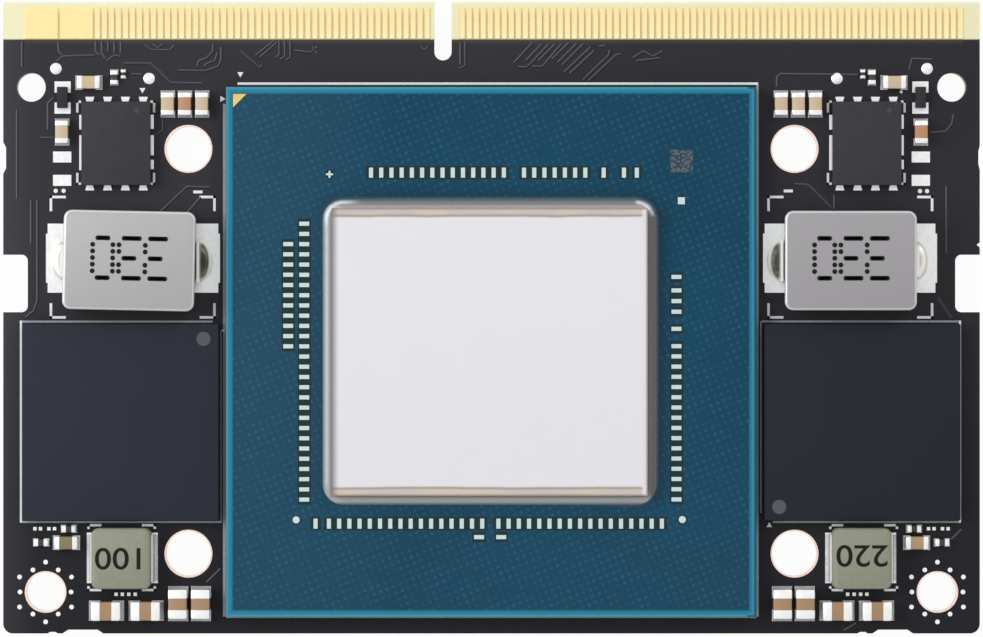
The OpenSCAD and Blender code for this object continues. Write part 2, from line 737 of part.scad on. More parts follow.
module chip_resistors() color([0.3, 0.28, 0.26]) {
    for (side = [-1, 1], r = RESISTORS)
        on_top(side * (side_x + r[1]) + r[4], r[2], r[3], pad_top) chip_part(r[0]);
}

module suppressor(side) color([0.2, 0.2, 0.21]) {
    on_top(sign_of(side) * (side_x + suppressor_x), suppressor_y, 0, pad_top)
        block(suppressor_w, suppressor_l, suppressor_h);
}

module suppressor_pads() {
    for (end = [-1, 1])
        translate([0, end * (suppressor_l / 2 + suppressor_pad_reach - suppressor_pad_l / 2), 0])
            block(suppressor_w + 2 * suppressor_pad_side, suppressor_pad_l, pad_t);
}

// Flat terminal pad of a power inductor with the longer middle of its outer edge
module inductor_pad() {
    l = (inductor_pad_span - inductor_l) / 2 - inductor_pad_step;
    translate([(l - terminal_foot) / 2, 0, 0]) block(l + terminal_foot, inductor_pad_w, pad_t);
    translate([l, 0, 0]) block(2 * inductor_pad_step, inductor_pad_middle, pad_t);
}

// Hollow slope of solder, length along Y, from a part's end at x = 0 outwards
module solder_fillet(reach, climb, l) {
    translate([0, l / 2, pad_t]) rotate([90, 0, 0]) linear_extrude(l) polygon([
        [0, -eps], [reach, -eps], [reach, eps],
        [reach * fillet_waist[0], climb * fillet_waist[1]], [0, climb],
    ]);
}

module buck_pads() {
    for (end = [0, 180]) rotate(end) translate([buck_w / 2 + buck_terminal_t, 0, 0]) {
        translate([(buck_solder - buck_foot) / 2, 0, 0]) block(buck_foot + buck_solder, buck_pad_w, pad_t);
        solder_fillet(buck_solder, buck_terminal_h * solder_climb, buck_terminal_w);
    }
}

// Pads of a power stage under the leads' ends and the side strips
module stage_pads() {
    for (x = LEADS_X, end = [0, 180]) rotate(end) translate([x, stage_l / 2, 0]) linear_extrude(pad_t)
        polygon([
            [-lead_w / 2, -lead_l], [lead_w / 2, -lead_l], [lead_w / 2, 0],
            [lead_pad_w / 2, lead_pad_reach], [-lead_pad_w / 2, lead_pad_reach], [-lead_w / 2, 0],
        ]);
    for (s = STRIPS)
        translate([s[0] * (stage_w / 2 + (strip_pad_reach - lead_l) / 2), s[1], 0])
            block(strip_pad_reach + lead_l, s[2], pad_t);
    block(stage_w - 2 * heat_pad_inset, stage_l - 2 * heat_pad_inset, pad_t);
}

module solder_pads() color(solder_grey) {
    for (side = [-1, 1]) {
        for (c = CAPACITORS) on_top(side * (side_x + c[2]), c[3], c[4]) chip_pads(c[1]);
        for (r = RESISTORS) on_top(side * (side_x + r[1]) + r[4], r[2], r[3]) chip_pads(r[0]);
        for (p = BARE_PADS) on_top(side * (side_x + p[0]), p[1]) block(p[2][0], p[2][1], pad_t);
        on_top(side * (side_x + suppressor_x), suppressor_y) suppressor_pads();
        for (end = [-1, 1])
            on_top(side * inductor_x + end * inductor_l / 2, inductor_pad_y, end > 0 ? 0 : 180)
                inductor_pad();
        on_top(side * stage_x, stage_y) stage_pads();
        on_top(side * buck_x, buck_y) buck_pads();
    }
}

// Processor

module processor_substrate() color([0.13, 0.31, 0.4]) {
    translate([processor_x, processor_y, substrate_z]) block(processor_w, processor_w, substrate_t);
}

module processor_die() color([0.89, 0.89, 0.91]) {
    translate([die_shift[0], processor_y + die_shift[1], substrate_top]) block(die_l, die_w, die_t);
}

// Section of the underfill: a hollow slope from the substrate up the die's side
module underfill_section() {
    difference() {
        square([underfill_w, underfill_h]);
        translate([underfill_w, underfill_h]) circle(min(underfill_w, underfill_h));
    }
}

// The section runs along the four sides and turns in wide curves, which the die's corners pierce
module processor_underfill() color([0.56, 0.55, 0.54]) {
    inner_r = underfill_r - underfill_w;
    translate([die_shift[0], processor_y + die_shift[1], substrate_top])
        difference() {
            for (turn = [0:90:270]) {
                l = (turn % 180 == 0 ? die_w : die_l) - 2 * inner_r;
                reach = turn % 180 == 0 ? die_l / 2 : die_w / 2;
                rotate(turn) {
                    translate([reach, l / 2, 0]) rotate([90, 0, 0]) linear_extrude(l) underfill_section();
                    translate([reach - inner_r, l / 2, 0])
                        rotate_extrude(angle = 90) translate([inner_r, 0]) underfill_section();
                }
            }
            translate([0, 0, -cut]) block(die_l, die_w, die_t + 2 * cut);
        }
}

// Square grid of solder balls: full rows along the sides and a field in the middle
module ball_grid(count, rows, middle, pitch, d, h) {
    half = (count - 1) / 2;
    for (i = [0:1:count - 1], j = [0:1:count - 1]) {
        edge = min(i, j, count - 1 - i, count - 1 - j);
        inner = max(abs(i - half), abs(j - half));
        if (edge < rows || inner < middle / 2)
            translate([(i - half) * pitch, (j - half) * pitch, 0]) cylinder(d = d, h = h);
    }
}

module processor_solder_balls() color(solder_grey) {
    count = floor((processor_w - 2 * ball_margin) / ball_pitch) + 1;
    translate([processor_x, processor_y, board_top])
        ball_grid(count, ball_rows, middle_balls, ball_pitch, ball_d, ball_h);
}

module processor_lands() color(tin) {
    translate([0, processor_y, substrate_top]) {
        for (row = LAND_ROWS, i = [0:1:row[1] - 1])
            translate(concat(row[0] + i * row[2], [0]))
                if (row[3]) block(land_w, land_l, land_t);
                else block(land_l, land_w, land_t);
        for (p = ROUND_FIDUCIALS) translate(concat(p, [0])) cylinder(d = fiducial_d, h = land_t);
        translate(concat(square_fiducial, [0])) block(fiducial_d, fiducial_d, land_t);
        translate(concat(cross_fiducial, [0])) {
            block(fiducial_d, cross_arm, land_t);
            block(cross_arm, fiducial_d, land_t);
        }
    }
}

module processor_pin_one_mark() color(gold) {
    corner = processor_w / 2 - pin_one_inset;
    translate([processor_x - corner, processor_y + corner, substrate_top])
        linear_extrude(land_t) polygon([[0, 0], [pin_one_side, 0], [0, -pin_one_side]]);
}

// Memory

module memory_mould(side) color([0.19, 0.2, 0.24]) {
    translate([sign_of(side) * memory_x, memory_y, memory_z + memory_substrate_t])
        block(memory_w, memory_w, memory_mould_t);
}

module memory_substrate(side) color([0.16, 0.22, 0.18]) {
    translate([sign_of(side) * memory_x, memory_y, memory_z]) block(memory_w, memory_w, memory_substrate_t);
}

module memory_solder_balls(side) color(solder_grey) {
    count = floor((memory_w - 2 * memory_ball_margin) / memory_ball_pitch) + 1;
    translate([sign_of(side) * memory_x, memory_y, board_top])
        ball_grid(count, memory_ball_rows, memory_middle_balls,
            memory_ball_pitch, memory_ball_d, memory_ball_h);
}

// Power inductors

// Puts children on the pads in the frame of an inductor's body
module at_inductor(side) {
    turn = side == "left" ? inductor_turn : 0;
    on_top(sign_of(side) * inductor_x + inductor_shift, inductor_y, turn, pad_top) children();
}

module power_inductor_core(side) color([0.72, 0.72, 0.72]) {
    at_inductor(side) translate([0, 0, terminal_t]) {
        rounded_plate(inductor_l, inductor_w, inductor_r, inductor_h - inductor_slant);
        hull() {
            translate([0, 0, inductor_h - inductor_slant])
                rounded_plate(inductor_l, inductor_w, inductor_r, eps, $fn = 32);
            translate([0, 0, inductor_h - eps])
                rounded_plate(inductor_l - 2 * inductor_slant, inductor_w - 2 * inductor_slant,
                    inductor_r, eps, $fn = 32);
        }
    }
}

// Terminal: a foot under the body, a strip up its side and a round hollow solder fillet.
// Its inner edge lies on the body's end, and +X points away from the body.
module inductor_terminal() {
    climb = terminal_h * solder_climb;
    foot_r = (pow(terminal_solder, 2) + pow(terminal_solder_w / 2, 2)) / (2 * terminal_solder);
    axis_x = terminal_solder - foot_r;
    translate([-terminal_foot / 2, 0, 0]) block(terminal_foot, terminal_w, terminal_t);
    translate([terminal_t / 2, 0, 0]) block(terminal_t, terminal_w, terminal_h);
    intersection() {
        translate([axis_x, 0, 0]) rotate_extrude() solder_section(foot_r, terminal_t - axis_x, climb);
        translate([terminal_solder / 2, 0, 0]) block(terminal_solder, terminal_solder_w, climb);
    }
}

// Section of a solder cone with a hollow slope
module solder_section(foot_r, top_r, h) {
    reach = min(foot_r - top_r, h);
    difference() {
        square([foot_r, h]);
        translate([foot_r, h]) circle(reach);
    }
}

module power_inductor_terminal(side, end) color(tin) {
    at_inductor(side) rotate(end > 0 ? 0 : 180) translate([inductor_l / 2, 0, 0]) inductor_terminal();
}

// Power stages

module power_stage_mould(side) color([0.2, 0.2, 0.22]) {
    on_top(sign_of(side) * stage_x, stage_y, 0, pad_top + leadframe_t) block(stage_w, stage_l, stage_mould_t);
}

module power_stage_leadframe(side) color(tin) {
    on_top(sign_of(side) * stage_x, stage_y, 0, pad_top) {
        for (x = LEADS_X, end = [-1, 1])
            translate([x, end * (stage_l / 2 + (lead_show - lead_l) / 2), 0])
                block(lead_w, lead_show + lead_l, leadframe_t);
        block(stage_w - 2 * heat_pad_inset, stage_l - 2 * heat_pad_inset, leadframe_t);
        for (s = STRIPS)
            translate([s[0] * (stage_w / 2 + (lead_show - lead_l) / 2), s[1], 0])
                block(lead_show + lead_l, s[2], leadframe_t);
    }
}

// Step-down inductors

module step_down_inductor_core(side) color([0.58, 0.6, 0.54]) {
    x = buck_w / 2;
    y = buck_l / 2;
    c = buck_chamfer;
    on_top(sign_of(side) * buck_x, buck_y, 0, pad_top + buck_terminal_t)
        linear_extrude(buck_h) polygon([
            [-x + c, -y], [x - c, -y], [x, -y + c], [x, y - c],
            [x - c, y], [-x + c, y], [-x, y - c], [-x, -y + c],
        ]);
}

module step_down_inductor_terminals(side) color(tin) {
    on_top(sign_of(side) * buck_x, buck_y, 0, pad_top)
        for (end = [-1, 1]) {
            translate([end * (buck_w / 2 + (buck_terminal_t - buck_foot) / 2), 0, 0])
                block(buck_foot + buck_terminal_t, buck_terminal_w, buck_terminal_t);
            translate([end * (buck_w + buck_terminal_t) / 2, 0, 0])
                block(buck_terminal_t, buck_terminal_w, buck_terminal_h);
        }
}

// Underside

module flash_lands() {
    for (x = [-1.5:1:1.5], end = [-1, 1])
        translate([x * flash_pitch, end * flash_w / 2, 0]) block(flash_land[0], flash_land[1], pad_t);
    block(flash_heat_land[0], flash_heat_land[1], pad_t);
}

module boot_flash() color([0.2, 0.2, 0.22]) {
    on_underside(flash_x, flash_y) translate([0, 0, pad_t]) block(flash_l, flash_w, flash_h);
}

module underside_capacitors() color(olive_ceramic) {
    for (p = BULK) on_underside(p[0], p[1]) translate([0, 0, pad_t]) chip_part(SMALL);
    for (p = DECOUPLING) on_underside(p[0], p[1]) translate([0, 0, pad_t]) chip_part(RESISTOR);
}

module underside_pads() color(solder_grey) {
    on_underside(flash_x, flash_y) flash_lands();
    for (p = BULK) on_underside(p[0], p[1]) chip_pads(SMALL);
    for (p = DECOUPLING) on_underside(p[0], p[1]) chip_pads(RESISTOR);
}

circuit_board();
hole_liners();
upper_edge_contacts();
lower_edge_contacts();
solder_pads();
underside_pads();
stitching_vias();
test_points();
processor_substrate();
processor_die();
processor_underfill();
processor_solder_balls();
processor_lands();
processor_pin_one_mark();
for (s = SIDES) {
    memory_mould(s);
    memory_substrate(s);
    memory_solder_balls(s);
    power_inductor_core(s);
    power_inductor_terminal(s, -sign_of(s));
    power_inductor_terminal(s, sign_of(s));
    power_stage_mould(s);
    power_stage_leadframe(s);
    step_down_inductor_core(s);
    step_down_inductor_terminals(s);
    suppressor(s);
    for (c = CAPACITORS)
        capacitor(s, c);
}
chip_resistors();
boot_flash();
underside_capacitors();
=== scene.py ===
"""Looks of a system on module: finishes, printed marks, bevelled packages and the stage around its solids."""
import json
import math

import bpy
from mathutils import Matrix, Vector


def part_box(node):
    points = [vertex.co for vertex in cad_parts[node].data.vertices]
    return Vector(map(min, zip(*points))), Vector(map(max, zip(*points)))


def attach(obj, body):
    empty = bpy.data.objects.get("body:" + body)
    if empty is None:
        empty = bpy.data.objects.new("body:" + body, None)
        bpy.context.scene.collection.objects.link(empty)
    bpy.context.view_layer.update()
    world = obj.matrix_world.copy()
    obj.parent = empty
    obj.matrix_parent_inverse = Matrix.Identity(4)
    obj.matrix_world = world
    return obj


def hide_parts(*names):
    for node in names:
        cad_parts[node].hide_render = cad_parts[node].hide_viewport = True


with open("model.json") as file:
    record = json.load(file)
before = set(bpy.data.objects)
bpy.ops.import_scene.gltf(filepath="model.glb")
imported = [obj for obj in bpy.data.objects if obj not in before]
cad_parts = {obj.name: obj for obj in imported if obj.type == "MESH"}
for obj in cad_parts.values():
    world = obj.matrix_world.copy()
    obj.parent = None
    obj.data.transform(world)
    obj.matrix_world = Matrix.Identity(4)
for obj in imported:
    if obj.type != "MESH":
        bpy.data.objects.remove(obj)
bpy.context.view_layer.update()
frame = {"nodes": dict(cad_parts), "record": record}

bl_info = {
    "name": "System on module",
    "version": (1, 0, 0),
    "blender": (4, 5, 0),
    "location": "View3D > Sidebar > Module",
    "description": "Finishes and printed marks of a compute module with an edge connector",
    "category": "Object",
}

MM = 0.001
SIDES = {"left": -1, "right": 1}
NODES = frame["nodes"]


def corner_low(node):
    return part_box(node)[0]


def corner_high(node):
    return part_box(node)[1]


def middle(node):
    low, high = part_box(node)
    return (low + high) / 2


BOARD_TOP = corner_high("circuit_board").z


# Properties

def linear(rgb):
    """Scene colour of a screen colour given from 0 to 255."""
    parts = [c / 255 for c in rgb]
    return tuple(c / 12.92 if c <= 0.04045 else ((c + 0.055) / 1.055) ** 2.4 for c in parts)


def colour(name, description, rgb):
    return bpy.props.FloatVectorProperty(
        name=name, description=description, subtype="COLOR", size=3, min=0, max=1, default=linear(rgb))


def length(name, description, value):
    return bpy.props.FloatProperty(
        name=name, description=description, subtype="DISTANCE", unit="LENGTH", min=0, default=value * MM)


class FinishColours(bpy.types.PropertyGroup):
    """Colours of the module's finishes."""
    mask: colour("Solder mask", "Dark mask on both faces of the board", (49, 48, 53))
    mask_rear: colour("Rear mask", "Mask towards the rear edge, where less light falls", (28, 27, 33))
    mask_raised: colour("Mask over tracks", "Mask on the lit slope of a copper track", (84, 84, 91))
    laminate: colour("Laminate", "Bare glass laminate at the edges", (250, 246, 202))
    # Painted shade: bare laminate between the contacts, darkened where shade falls between them.
    laminate_shaded: colour("Laminate between contacts", "Bare laminate between the contacts", (222, 203, 156))
    print_white: colour("Board print", "White print on the mask", (238, 239, 240))
    print_grey: colour("Thin print", "White print that is thin enough to look grey", (156, 159, 165))
    gold: colour("Gold", "Plating of the edge contacts", (254, 236, 181))
    pin_gold: colour("First-pin gold", "Plating of the processor's first-pin triangle", (228, 200, 120))
    copper: colour("Copper", "Plated walls of the holes", (238, 212, 200))
    tin: colour("Tin", "Tinned pads, terminals and chip ends", (243, 243, 242))
    solder: colour("Solder", "Bright solder", (240, 241, 241))
    land: colour("Lands", "Bare lands on the processor", (201, 220, 220))
    # Painted shade: dark sheets round the processor's lands, and the ground of the painted shadow on the
    # processor mask.
    teal_shade: colour("Openings", "Dark laminate in the mask openings round the lands", (34, 53, 55))
    terminal: colour("Terminals", "Tinned strips and solder of the inductors", (238, 237, 232))
    terminal_shade: colour("Shaded terminals", "Solder slopes that face the processor", (88, 84, 72))
    teal: colour("Processor mask", "Mask of the processor's substrate", (16, 68, 92))
    teal_pale: colour("Pale processor mask", "Processor mask to the left and rear", (38, 78, 100))
    teal_dot: colour("Mesh dots", "Dots of the copper mesh under the mask", (64, 116, 144))
    teal_rim: colour("Processor rim", "Outer half of the substrate's bare rim", (70, 148, 170))
    teal_rim_dim: colour("Inner processor rim", "Inner half of the substrate's bare rim", (38, 131, 158))
    silicon: colour("Die", "Polished back of the die", (231, 230, 234))
    die_edge: colour("Die edge", "Stained strip along the die's long edges", (211, 196, 186))
    die_line: colour("Die line", "Brown line beside the stained strip", (164, 147, 137))
    die_side: colour("Die side", "Walls and shaded edges of the die", (134, 125, 124))
    # Painted light and shade on the resin: lighter on the left, darker on the right, painted highlights by
    # the die's front edge and on the front corners, painted shade where it meets the die on the other sides.
    underfill: colour("Underfill", "Resin fillet round the die", (155, 154, 153))
    underfill_lit: colour("Light underfill", "Resin on the left of the die", (168, 173, 179))
    underfill_front_highlight: colour("Front underfill", "Resin that meets the die's front edge", (196, 191, 188))
    underfill_glint: colour("Underfill glint", "Lit bend of the resin at the front corners", (226, 236, 240))
    underfill_shaded: colour("Dark underfill", "Resin on the right of the die", (98, 93, 92))
    underfill_crease_shade: colour("Brown underfill", "Resin where it meets the die", (132, 123, 121))
    underfill_edge: colour("Underfill edge", "Outer edge, where the resin runs out thin", (84, 102, 112))
    memory: colour("Memory", "Moulding compound of the memory packages", (34, 38, 48))
    memory_laminate: colour("Memory laminate", "Thin laminate under the memory packages", (29, 48, 36))
    mould: colour("Mould", "Moulding compound of the power stages", (57, 56, 61))
    laser: colour("Laser mark", "Index marks and the speck patch's ground", (96, 98, 104))
    iron: colour("Pressed iron", "Body of the left power inductor", (178, 176, 177))
    iron_dim: colour("Dim pressed iron", "Body of the right power inductor", (161, 158, 162))
    # Painted highlight on the power inductors' rounded upper edge.
    iron_rim_highlight: colour("Inductor rim", "Rounded upper edge of the power inductors", (236, 234, 234))
    ferrite: colour("Ferrite", "Bodies of the step-down inductors", (145, 149, 130))
    ink: colour("Ink", "Printed digits on the inductors", (14, 13, 13))
    tan: colour("Tan ceramic", "Ceramic of most small capacitors", (212, 192, 160))
    tan_rear: colour("Rear tan ceramic", "Ceramic of the tan capacitors behind the memory", (184, 154, 116))
    orange: colour("Orange ceramic", "Ceramic of the orange capacitors", (192, 146, 110))
    orange_rear: colour("Rear orange ceramic", "Ceramic of the rear capacitors", (172, 141, 110))
    olive: colour("Olive ceramic", "Ceramic of the olive capacitors", (138, 128, 90))
    resistor: colour("Resistor coat", "Dark coat of the chip resistors", (66, 60, 57))
    floor: colour("Floor", "Pale floor under the module", (252, 252, 252))


class FinishSizes(bpy.types.PropertyGroup):
    """Sizes of what is added to the solids, and of the stage."""
    print_height: length("Print height", "Thickness of the white print", 0.02)
    print_width: length("Print line", "Width of the white lines", 0.18)
    track_width: length("Track width", "Width of the tracks under the mask", 0.19)
    track_height: length("Track height", "Height of the tracks under the mask", 0.03)
    package_round: length("Package rounding", "Rounding of the moulded packages' edges", 0.05)
    chip_round: length("Chip rounding", "Rounding of the chip parts' edges", 0.11)
    chip_proud: length("Chip ends", "Height of the metal ends over the ceramic", 0.02)
    iron_round: length("Inductor rounding", "Rounding of the power inductors' upper edge", 0.22)
    iron_draft: length("Inductor draft", "How far the power inductors' inner side draws in at its foot", 0.14)
    iron_corner: length("Inductor corner", "Corner radius of the power inductors", 0.6)
    ferrite_corner: length("Ferrite corner", "Cut corners of the step-down inductors", 0.45)
    ferrite_round: length("Ferrite rounding", "Rounding of the step-down inductors' edges", 0.24)
    digit_height: length("Digit height", "Height of the inductors' printed digits", 2.82)
    camera_height: length("Camera height", "Distance of the camera above the board", 450)
    view_width: length("View width", "Width of the board plane that the camera sees", 70.06)
    floor_side: length("Floor side", "Side of the square floor", 1200)


# Materials

def shade(rgb, share):
    """A colour made darker, or lighter with a share over 1."""
    return [part * share for part in rgb]


class Shader:
    """A node tree under construction: adds nodes, sets their values and joins their sockets."""

    def __init__(self, tree):
        self.tree = tree

    def put(self, socket, value):
        if isinstance(value, bpy.types.NodeSocket):
            self.tree.links.new(value, socket)
        elif socket.type == "RGBA" and len(value) == 3:
            socket.default_value = (*value, 1)
        else:
            socket.default_value = value

    def add(self, kind, inputs=None, **settings):
        node = self.tree.nodes.new(kind)
        for key, value in settings.items():
            setattr(node, key, value)
        for key, value in (inputs or {}).items():
            self.put(node.inputs[key], value)
        return node

    def math(self, operation, a, b=0.0, clamp=False):
        return self.add("ShaderNodeMath", {0: a, 1: b}, operation=operation, use_clamp=clamp).outputs[0]

    def times(self, a, b):
        return self.math("MULTIPLY", a, b)

    def plus(self, a, b):
        return self.math("ADD", a, b)

    def minus(self, a, b):
        return self.math("SUBTRACT", a, b)

    def apart(self, a, b):
        return self.math("ABSOLUTE", self.minus(a, b))

    def hypot(self, a, b):
        return self.math("SQRT", self.plus(self.times(a, a), self.times(b, b)))

    def inverse(self, mask):
        return self.minus(1, mask)

    def vector(self, operation, a, b):
        return self.add("ShaderNodeVectorMath", {0: a, 1: b}, operation=operation).outputs[0]

    def mix(self, factor, a, b):
        return self.add("ShaderNodeMix", {0: factor, 6: a, 7: b}, data_type="RGBA").outputs[2]

    def tint(self, base, rgb, mask, share):
        """The base with a share of another colour over it where the mask is 1."""
        return self.mix(self.times(mask, share), base, rgb)

    def group(self, name, **inputs):
        node = self.add("ShaderNodeGroup", node_tree=bpy.data.node_groups[name])
        for key, value in inputs.items():
            self.put(node.inputs[key.replace("_", " ").title()], value)
        return node.outputs

    def place(self):
        """X, Y and Z of the surface in millimetres."""
        return self.group("millimetres")

    def lean(self):
        """X, Y and Z of the surface's normal."""
        normal = self.add("ShaderNodeNewGeometry").outputs["Normal"]
        return self.add("ShaderNodeSeparateXYZ", {0: normal}).outputs

    def grain(self, **inputs):
        return self.group("grain", **inputs)["Value"]

    def step(self, value, edge, blur):
        """1 where a value is over an edge, 0 below it."""
        return self.group("soft step", value=value, edge=edge, blur=blur)["Mask"]

    def below(self, value, edge, blur):
        return self.inverse(self.step(value, edge, blur))

    def bar(self, value, centre, width, blur):
        return self.group("soft bar", value=value, centre=centre, width=width, blur=blur)["Mask"]

    def bump(self, height, depth, strength=1.0):
        """Normal of a relief that is depth millimetres high."""
        inputs = {"Height": height, "Distance": depth * MM, "Strength": strength}
        return self.add("ShaderNodeBump", inputs).outputs[0]


def new_group(name, inputs, outputs):
    """An empty shader group with float sockets: inputs maps names to defaults."""
    tree = bpy.data.node_groups.new(name, "ShaderNodeTree")
    for socket, default in inputs.items():
        made = tree.interface.new_socket(socket, in_out="INPUT", socket_type="NodeSocketFloat")
        made.default_value = default
    for socket, kind in outputs.items():
        tree.interface.new_socket(socket, in_out="OUTPUT", socket_type=kind)
    shader = Shader(tree)
    start = shader.add("NodeGroupInput").outputs
    end = shader.add("NodeGroupOutput").inputs
    return shader, start, end


SPECK_BLUR = 0.01


def build_groups():
    """Effects that several finishes share."""
    value = "NodeSocketFloat"
    shader, start, end = new_group(
        "millimetres", {}, {"X": value, "Y": value, "Z": value, "Point": "NodeSocketVector"})
    spot = shader.add("ShaderNodeTexCoord").outputs["Object"]
    point = shader.vector("MULTIPLY", spot, (1 / MM,) * 3)
    axes = shader.add("ShaderNodeSeparateXYZ", {0: point}).outputs
    for axis in "XYZ":
        shader.put(end[axis], axes[axis])
    shader.put(end["Point"], point)

    # Mottle from 0 to 1: detail per millimetre, and how far it spreads round its middle
    shader, start, end = new_group("grain", {"Scale": 1, "Detail": 3, "Contrast": 1}, {"Value": value})
    point = shader.place()["Point"]
    noise = shader.add(
        "ShaderNodeTexNoise", {"Vector": point, "Scale": start["Scale"], "Detail": start["Detail"]})
    spread = shader.times(shader.minus(noise.outputs[0], 0.5), start["Contrast"])
    shader.put(end["Value"], shader.math("ADD", spread, 0.5, clamp=True))

    shader, start, end = new_group("soft step", {"Value": 0, "Edge": 0, "Blur": 0.1}, {"Mask": value})
    ramp = shader.add("ShaderNodeMapRange", {
        0: start["Value"],
        1: shader.minus(start["Edge"], start["Blur"]),
        2: shader.plus(start["Edge"], start["Blur"]),
    }, interpolation_type="SMOOTHSTEP")
    shader.put(end["Mask"], ramp.outputs[0])

    shader, start, end = new_group(
        "soft bar", {"Value": 0, "Centre": 0, "Width": 1, "Blur": 0.1}, {"Mask": value})
    offset = shader.apart(start["Value"], start["Centre"])
    outside = shader.step(offset, shader.times(start["Width"], 0.5), start["Blur"])
    shader.put(end["Mask"], shader.inverse(outside))

    # Random square specks inside a rectangle, as a machine-read patch that says nothing
    shader, start, end = new_group(
        "speck patch", {"Centre X": 0, "Centre Y": 0, "Length": 1, "Width": 1, "Cell": 0.1},
        {"Mask": value, "Area": value})
    here = shader.place()
    cells = [shader.math("FLOOR", shader.math("DIVIDE", here[axis], start["Cell"])) for axis in "XY"]
    cell = shader.add("ShaderNodeCombineXYZ", {0: cells[0], 1: cells[1]}).outputs[0]
    lit = shader.math("GREATER_THAN", shader.add("ShaderNodeTexWhiteNoise", {"Vector": cell}).outputs[0], 0.5)
    inside = shader.times(
        shader.bar(here["X"], start["Centre X"], start["Length"], SPECK_BLUR),
        shader.bar(here["Y"], start["Centre Y"], start["Width"], SPECK_BLUR))
    shader.put(end["Mask"], shader.times(lit, inside))
    shader.put(end["Area"], inside)

    shader, start, end = new_group(
        "round spot", {"Centre X": 0, "Centre Y": 0, "Diameter": 1, "Blur": 0.04}, {"Mask": value})
    here = shader.place()
    across = shader.minus(here["X"], start["Centre X"])
    along = shader.minus(here["Y"], start["Centre Y"])
    outside = shader.step(shader.hypot(across, along), shader.times(start["Diameter"], 0.5), start["Blur"])
    shader.put(end["Mask"], shader.inverse(outside))


def finish(name, base, roughness, relief, sockets):
    """A material from the functions that build its colour, roughness and relief, and from plain values."""
    material = bpy.data.materials.new(name)
    material.use_nodes = True
    shader = Shader(material.node_tree)
    surface = material.node_tree.nodes["Principled BSDF"].inputs
    for socket, build in (("Base Color", base), ("Roughness", roughness), ("Normal", relief)):
        shader.put(surface[socket], build(shader))
    for socket, value in sockets.items():
        shader.put(surface[socket], value)


def mottled(rgb, scale, spread=0.12):
    """Base colour that varies a little in brightness over the surface."""
    dark = shade(rgb, 1 - spread)
    light = [min(1, part) for part in shade(rgb, 1 + spread)]
    return lambda s: s.mix(s.grain(scale=scale, detail=4, contrast=1.5), dark, light)


def rough_range(low, high, scale):
    return lambda s: s.plus(low, s.times(s.grain(scale=scale, contrast=1.6), high - low))


def grain_relief(scale, depth, strength=0.5):
    return lambda s: s.bump(s.grain(scale=scale, detail=5), depth, strength)


WALL_LEVEL = (0.85, 0.08)
ROUNDING_LEVEL = (0.93, 0.06)


def side_facing(s, level=WALL_LEVEL):
    """1 where the surface leans more than a level says, 0 on level faces."""
    return s.below(s.math("ABSOLUTE", s.lean()["Z"]), *level)


# Middle and half width of the painted shade that darkens the mask towards the rear edge, in millimetres
REAR_FADE = (-8, 12)


def board_colour(c):
    """Mask on both faces, bare laminate beside the contacts and in the cut edges, with painted light and
    shade on the mask and painted shade between the contacts.
    """
    contacts_low, contacts_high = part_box("upper_edge_contacts")
    strip, end = contacts_low.y / MM, contacts_high.y / MM
    spans = [(low.x / MM, high.x / MM) for low, high in shells_of("upper_edge_contacts")]
    before, after = max(zip(spans, spans[1:]), key=lambda pair: pair[1][0] - pair[0][1])
    key_x, key_gap = (before[1] + after[0]) / 2, after[0] - before[1]

    def paint(s):
        here = s.place()
        # Painted shade: the mask darkens towards the rear edge and to the right, and painted light lifts it
        # at the left edge.
        mask = s.mix(s.step(here["Y"], *REAR_FADE), c.mask_rear, c.mask)
        dim = s.times(s.step(here["X"], 10, 20), 0.4)
        mottle = s.times(s.grain(scale=0.12, detail=2, contrast=1.4), 0.2)
        mask = s.mix(s.plus(dim, mottle), mask, c.mask_rear)
        lit = s.below(here["X"], -33.6, 1.6)
        mask = s.tint(mask, c.print_grey, lit, 0.06)
        speck = s.grain(scale=6, detail=5, contrast=1.6)
        laminate = s.mix(speck, shade(c.laminate, 0.9), c.laminate)
        beside = s.times(s.step(here["X"], contacts_low.x / MM, 0.03),
                         s.below(here["X"], contacts_high.x / MM, 0.03))
        # Painted shade between the contacts, but not in the key gap.
        between = s.times(beside, s.below(here["Y"], end - 0.25, 0.45))
        off_key = s.inverse(s.bar(here["X"], key_x, key_gap - 0.1, 0.1))
        laminate = s.mix(s.times(between, off_key), laminate, c.laminate_shaded)
        plies = s.math("PINGPONG", here["Z"], 0.1)
        wall = s.mix(s.step(plies, 0.075, 0.015), shade(c.laminate, 0.42), shade(c.copper, 0.3))
        bare = s.step(here["Y"], strip - 0.05, 0.07)
        # Painted shadow along the mask's edge under the contacts.
        edge_shade = s.times(s.step(here["Y"], strip - 0.3, 0.2), s.times(beside, 0.5))
        mask = s.mix(edge_shade, mask, shade(c.laminate_shaded, 0.12))
        flat = s.mix(bare, mask, laminate)
        edge = s.mix(bare, wall, laminate)
        return s.mix(side_facing(s), flat, edge)
    return paint


def board_relief(s):
    """Faint weave of the glass cloth under the mask."""
    here = s.place()
    waves = [s.math("SINE", s.times(here[axis], 14)) for axis in "XY"]
    weave = s.math("ADD", *waves)
    fine = s.grain(scale=9, detail=4)
    return s.bump(s.plus(s.times(weave, 0.15), fine), 0.006, 0.35)


def track_colour(c):
    """Mask over a track: lit on the slope that faces the front left, dim on the other."""
    def paint(s):
        lean = s.lean()
        lit = s.step(s.minus(lean["Y"], lean["X"]), 0, 0.35)
        dim = s.mix(s.grain(scale=3), shade(c.mask_rear, 0.9), c.mask_rear)
        return s.mix(lit, dim, c.mask_raised)
    return paint


# Shares of the gold's colour at the connector edge and on the wide contacts
DEEP_GOLD = (0.97, 0.94, 0.86)
WIDE_GOLD = (0.97, 0.94, 0.83)


